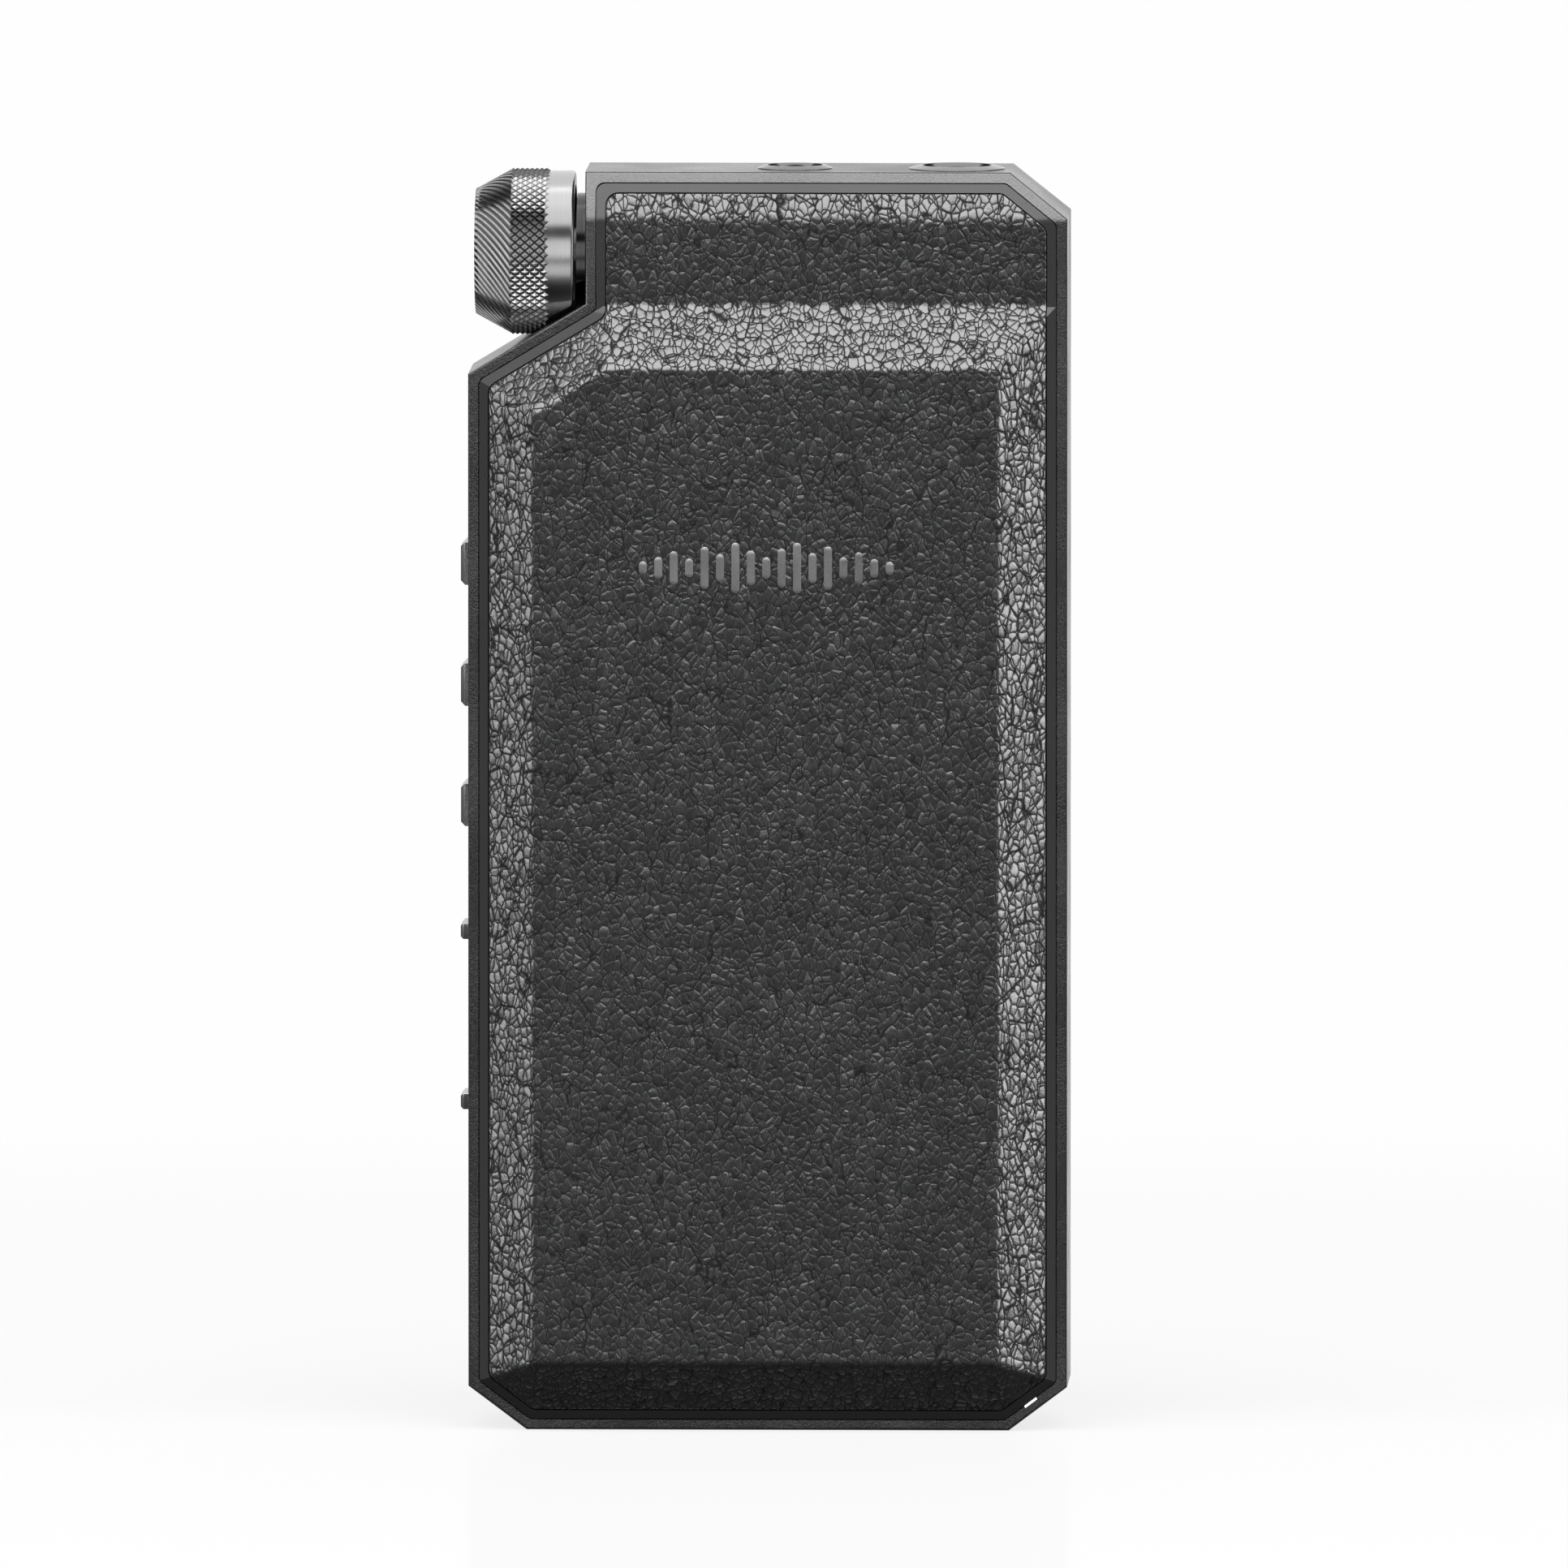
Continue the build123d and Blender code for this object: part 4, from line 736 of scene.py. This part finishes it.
knurl_columns = RIBS * KNURL_STEPS
step = KNURL_PITCH / KNURL_STEPS
n_axial = int(round((GRIP_END_X - CONE_END_X) / step)) + 1
axial = np.arange(n_axial)
u = axial[:, None] / KNURL_STEPS
v = np.arange(knurl_columns)[None, :] / KNURL_STEPS
height = np.minimum(triangle(u + v), triangle(u - v))
beyond = (u - TOOTH_ROW) + np.abs(v - np.round(v)) > 0.5 + TINY
height = np.where((u > TOOTH_ROW) & beyond, TOOTH_GAP, height)
grip_x = np.minimum(CONE_END_X + axial * step, GRIP_END_X)[:, None]
grip_angle = RIB_SWEEP + np.arange(knurl_columns) * 2 * math.pi / knurl_columns
grip_points = to_knob(grip_x, GRIP_R - KNURL_DEPTH * (1 - height), grip_angle).reshape(-1, 3)
grip_faces = []
for i in range(n_axial - 1):
    for j in range(knurl_columns):
        a, b = i * knurl_columns + j, i * knurl_columns + (j + 1) % knurl_columns
        c, d = a + knurl_columns, b + knurl_columns
        if (i + j + 1) % (KNURL_STEPS // 2) == 0:
            grip_faces += [(a, b, c), (b, d, c)]
        else:
            grip_faces += [(a, b, d), (a, d, c)]
grip = mesh_piece(
    "knob_knurl",
    grip_points,
    grip_faces,
    slots["knob_bright"],
    "knob",
    ["knob_grip"],
    smooth=False,
)

collar_start = CONE_END_X + TOOTH_ROW * KNURL_PITCH
collar_profile = rounded(
    [
        (collar_start, BORE_R),
        (collar_start, COLLAR_R),
        (COLLAR_END_X - COLLAR_CUT, COLLAR_R),
        (COLLAR_END_X, COLLAR_R - COLLAR_CUT),
        (COLLAR_END_X, COLLAR_LIP),
        (COLLAR_END_X, BORE_R),
    ],
    TIP_ROUND,
)
points, faces = turned(collar_profile, COLLAR_SEGMENTS, knob_centre, "X")
collar = mesh_piece(
    "knob_band",
    points,
    faces,
    slots["knob_polished"],
    "knob",
    ["knob_collar"],
)
sharpen(collar.data, TURNED_SHARP)


# ---------------------------------------------------------------- socket rings
RING_SEAT, RING_SEAT_DEPTH, RING_SEAT_TOP = 0.35, 0.3, 0.33
RING_FLANGE, RING_RISE, RING_LIP_OUT, RING_LIP_IN = 0.05, 0.25, 0.02, 0.1
RING_MOUTH, RING_BORE, RING_ROUND, RING_SEGMENTS = 0.1, 2.1, 0.07, 192


def socket_ring(name, x, flange, lip, bore):
    """The flared ring round a headphone socket's mouth, from its flange into its bore."""
    profile = rounded(
        [
            (HEIGHT - RING_SEAT_DEPTH, flange - RING_SEAT),
            (HEIGHT, flange - RING_SEAT_TOP),
            (HEIGHT, flange),
            (HEIGHT + RING_FLANGE, flange),
            (HEIGHT + RING_RISE, lip + RING_LIP_OUT),
            (HEIGHT + RING_RISE, lip - RING_LIP_IN),
            (HEIGHT - RING_MOUTH, bore),
            (HEIGHT - RING_BORE, bore),
        ],
        RING_ROUND,
    )
    points, faces = turned(profile, RING_SEGMENTS, (x, 0, 0), "Z")
    node = name.replace("mouth", "ring")
    piece = mesh_piece(name, points, faces, slots["socket_ring"], "root", [node])
    sharpen(piece.data, TURNED_SHARP)
    return piece


ring_3_5 = socket_ring("jack_3_5_mouth", x=1.75, flange=2.57, lip=2.05, bore=1.825)
ring_4_4 = socket_ring("jack_4_4_mouth", x=12.88, flange=3.32, lip=2.55, bore=2.275)

# ---------------------------------------------------------------- floor, light and camera
WHITE = 0.992
FLOOR_SEGMENTS, FLOOR_RINGS, FLOOR_GAP = 64, (0.05, 0.1), 0.02
FLOOR_NEAR, FLOOR_FAR = 0.14, 0.26
FLOOR_EMIT, FLOOR_ALBEDO = 0.795, 0.078
FLOOR_MIRROR, FLOOR_GLOSS = 0.04, 0.12
FRONT_GLOW, TOP_GLOW, FLOOR_GLOW, SIDE_GLOW, BACK_WHITE, DARK = 0.09, 0.2, 0.10, 0.18, 1.0, 0.02
# Where the glows begin and end, in degrees from the upright plane through the object
BACK_ANGLES, FRONT_ANGLES = (4, 20), (-14, -2)
# In degrees above the horizon
FRONT_RISE, FRONT_FALL, TOP_ANGLES, FLOOR_ANGLES = (-50, -36), (4, 9), (60, 80), (-80, -62)
# In the sideways part of the direction
BACK_ASIDE, SIDE_ASIDE = (0.38, 0.6), (0.7, 0.95)

floor_mesh = bpy.data.meshes.new("floor")
around = np.linspace(0, 2 * math.pi, FLOOR_SEGMENTS, endpoint=False)
floor_points = [(0, 0, 0)]
for radius in (*FLOOR_RINGS, FLOOR_NEAR, FLOOR_FAR):
    floor_points += [(radius * math.cos(t), radius * math.sin(t), 0) for t in around]
floor_faces = [(0, 1 + j, 1 + (j + 1) % FLOOR_SEGMENTS) for j in range(FLOOR_SEGMENTS)]
floor_faces += grid_faces(len(FLOOR_RINGS) + 2, FLOOR_SEGMENTS, closed=True, offset=1)
floor_mesh.from_pydata(floor_points, [], floor_faces)
floor = bpy.data.objects.new("floor", floor_mesh)
bpy.context.scene.collection.objects.link(floor)
floor.location.z = -FLOOR_GAP * MM
floor.visible_glossy = floor.visible_diffuse = False
white = Surface(
    "floor_white",
    Roughness=0.9,
    Specular_IOR_Level=0.0,
    Base_Color=(*grey(FLOOR_ALBEDO), 1),
    Emission_Color=(1, 1, 1, 1),
    Emission_Strength=FLOOR_EMIT,
)
reach = white.add("ShaderNodeVectorMath", {0: white.place}, operation="LENGTH").outputs["Value"]
mirror = white.add("ShaderNodeBsdfGlossy", {"Roughness": FLOOR_GLOSS}).outputs[0]
inputs = {0: FLOOR_MIRROR, 1: white.shader.outputs[0], 2: mirror}
solid = white.add("ShaderNodeMixShader", inputs).outputs[0]
clear = white.add("ShaderNodeBsdfTransparent").outputs[0]
fade = white.ramp(reach, FLOOR_NEAR, FLOOR_FAR, 0, 1, smooth=True)
faded = white.add("ShaderNodeMixShader", {0: fade, 1: solid, 2: clear}).outputs[0]
white.tree.links.new(faded, white.tree.nodes["Material Output"].inputs["Surface"])
floor_mesh.materials.append(white.material)

world = bpy.data.worlds.new("studio")
bpy.context.scene.world = world
world.use_nodes = True
sky = Nodes(world.node_tree)
sky.tree.nodes.clear()


def sky_band(value, low, high, to_low, to_high):
    """A smooth step between two angles in degrees above the plane that value is measured from."""
    low, high = (math.sin(math.radians(angle)) for angle in (low, high))
    return sky.ramp(value, low, high, to_low, to_high, smooth=True)


coordinates = sky.add("ShaderNodeTexCoord").outputs["Generated"]
direction = sky.add("ShaderNodeSeparateXYZ", {0: coordinates})
rearward, up = direction.outputs["Y"], direction.outputs["Z"]
aside = sky.math("ABSOLUTE", direction.outputs["X"])
behind = sky_band(rearward, *BACK_ANGLES, 0, BACK_WHITE)
to_back = sky.math("MULTIPLY", behind, sky.ramp(aside, *BACK_ASIDE, 1, 0, smooth=True))
to_front = sky_band(rearward, *FRONT_ANGLES, FRONT_GLOW, 0)
rising = sky_band(up, *FRONT_RISE, 0, 1)
level = sky.math("MULTIPLY", rising, sky_band(up, *FRONT_FALL, 1, 0))
to_top = sky_band(up, *TOP_ANGLES, 0, TOP_GLOW)
to_side = sky.ramp(aside, *SIDE_ASIDE, 0, SIDE_GLOW, smooth=True)
to_floor = sky_band(up, *FLOOR_ANGLES, FLOOR_GLOW, 0)
glow = sky.math("MULTIPLY", to_front, level)
for part in (to_back, to_top, to_floor, to_side, DARK):
    glow = sky.math("ADD", glow, part)
camera_ray = sky.add("ShaderNodeLightPath").outputs["Is Camera Ray"]
seen = sky.add("ShaderNodeMix", {"Factor": camera_ray, 2: glow, 3: WHITE}).outputs[0]
background = sky.add("ShaderNodeBackground", {"Color": seen}).outputs[0]
sky.add("ShaderNodeOutputWorld", {0: background})

KEY_DISTANCE = 1.6


def face_centre(thing, centre, azimuth, elevation, distance):
    """Puts a lamp or camera at a distance from centre, facing it; 0, 0 looks straight at the back."""
    a, e = math.radians(azimuth), math.radians(elevation)
    out = Vector((math.sin(a) * math.cos(e), -math.cos(a) * math.cos(e), math.sin(e)))
    thing.location = centre + out * distance
    thing.rotation_mode = "QUATERNION"
    thing.rotation_quaternion = out.to_track_quat("Z", "Y")


def softbox(name, azimuth, elevation, width, height, radiance, only=(), never=()):
    """A rectangular light of that radiance that faces the object and lights some pieces or all."""
    light = bpy.data.lights.new(name, "AREA")
    light.shape, light.size, light.size_y = "RECTANGLE", width, height
    light.energy = radiance * math.pi * width * height
    lamp = bpy.data.objects.new(name, light)
    face_centre(lamp, Vector((0, 0, HEIGHT / 2 * MM)), azimuth, elevation, KEY_DISTANCE)
    lamp.visible_camera = False
    bpy.context.scene.collection.objects.link(lamp)
    if only or never:
        group = bpy.data.collections.new(name + "_group")
        for piece in only or never:
            group.objects.link(piece)
        for entry in group.collection_objects:
            entry.light_linking.link_state = "INCLUDE" if only else "EXCLUDE"
        lamp.light_linking.receiver_collection = group


rings = [ring_3_5, ring_4_4]
turned_pieces = [collar, *rings, frame["nodes"]["knob_bushing"], frame["nodes"]["knob_shaft"]]
knob_pieces = [grip, *turned_pieces]
others = [*knob_pieces, cap, leather]
# Azimuth and elevation in degrees, width and height in metres, radiance
softbox("frame_key", 0, 47, 2.2, 2.16, 6.5, never=others)
softbox("frame_left", -66, 24, 0.7, 0.7, 10, never=others)
softbox("frame_right", 66, 24, 0.7, 0.7, 11, never=others)
softbox("leather_key", 0, 48.5, 2.2, 2.08, 6.8, only=[leather])
softbox("leather_left", -74, 16, 1.0, 1.3, 5.0, only=[leather])
softbox("leather_right", 74, 16, 1.0, 1.3, 7.6, only=[leather])
softbox("knob_top", 0, 74, 5.0, 2.05, 1.1, only=turned_pieces)
softbox("knob_front", 0, 9, 1.6, 0.77, 1.05, only=knob_pieces)
softbox("knob_low", 0, -22, 1.5, 0.5, 0.8, only=knob_pieces)
softbox("cone_side", -66, 2, 2.0, 5.2, 1.6, only=[cap])
softbox("knurl_left", -72, 17, 1.3, 1.42, 1.8, only=[grip])
softbox("knurl_right", 72, 17, 1.3, 1.42, 0.9, only=[grip])
softbox("knurl_top", 0, 74, 5.0, 2.05, 0.3, only=[grip])

CAMERA_DISTANCE, VIEW_WIDTH, SENSOR_WIDTH = 4.0, 0.1078, 36.0
AZIMUTH, ELEVATION = 1.7, 4.5
AIM = Vector((0.00113, REAR_Y * MM, 0.0446))
CLIP_NEAR, CLIP_FAR = 0.05, 50.0

camera = bpy.data.objects.new("camera", bpy.data.cameras.new("camera"))
bpy.context.scene.collection.objects.link(camera)
bpy.context.scene.camera = camera
camera.data.sensor_width = SENSOR_WIDTH
camera.data.lens = SENSOR_WIDTH * CAMERA_DISTANCE / VIEW_WIDTH
face_centre(camera, AIM, AZIMUTH, ELEVATION, CAMERA_DISTANCE)
camera.data.clip_start, camera.data.clip_end = CLIP_NEAR, CLIP_FAR
bpy.context.scene.view_settings.view_transform = "Standard"
bpy.context.scene.view_settings.look = "None"
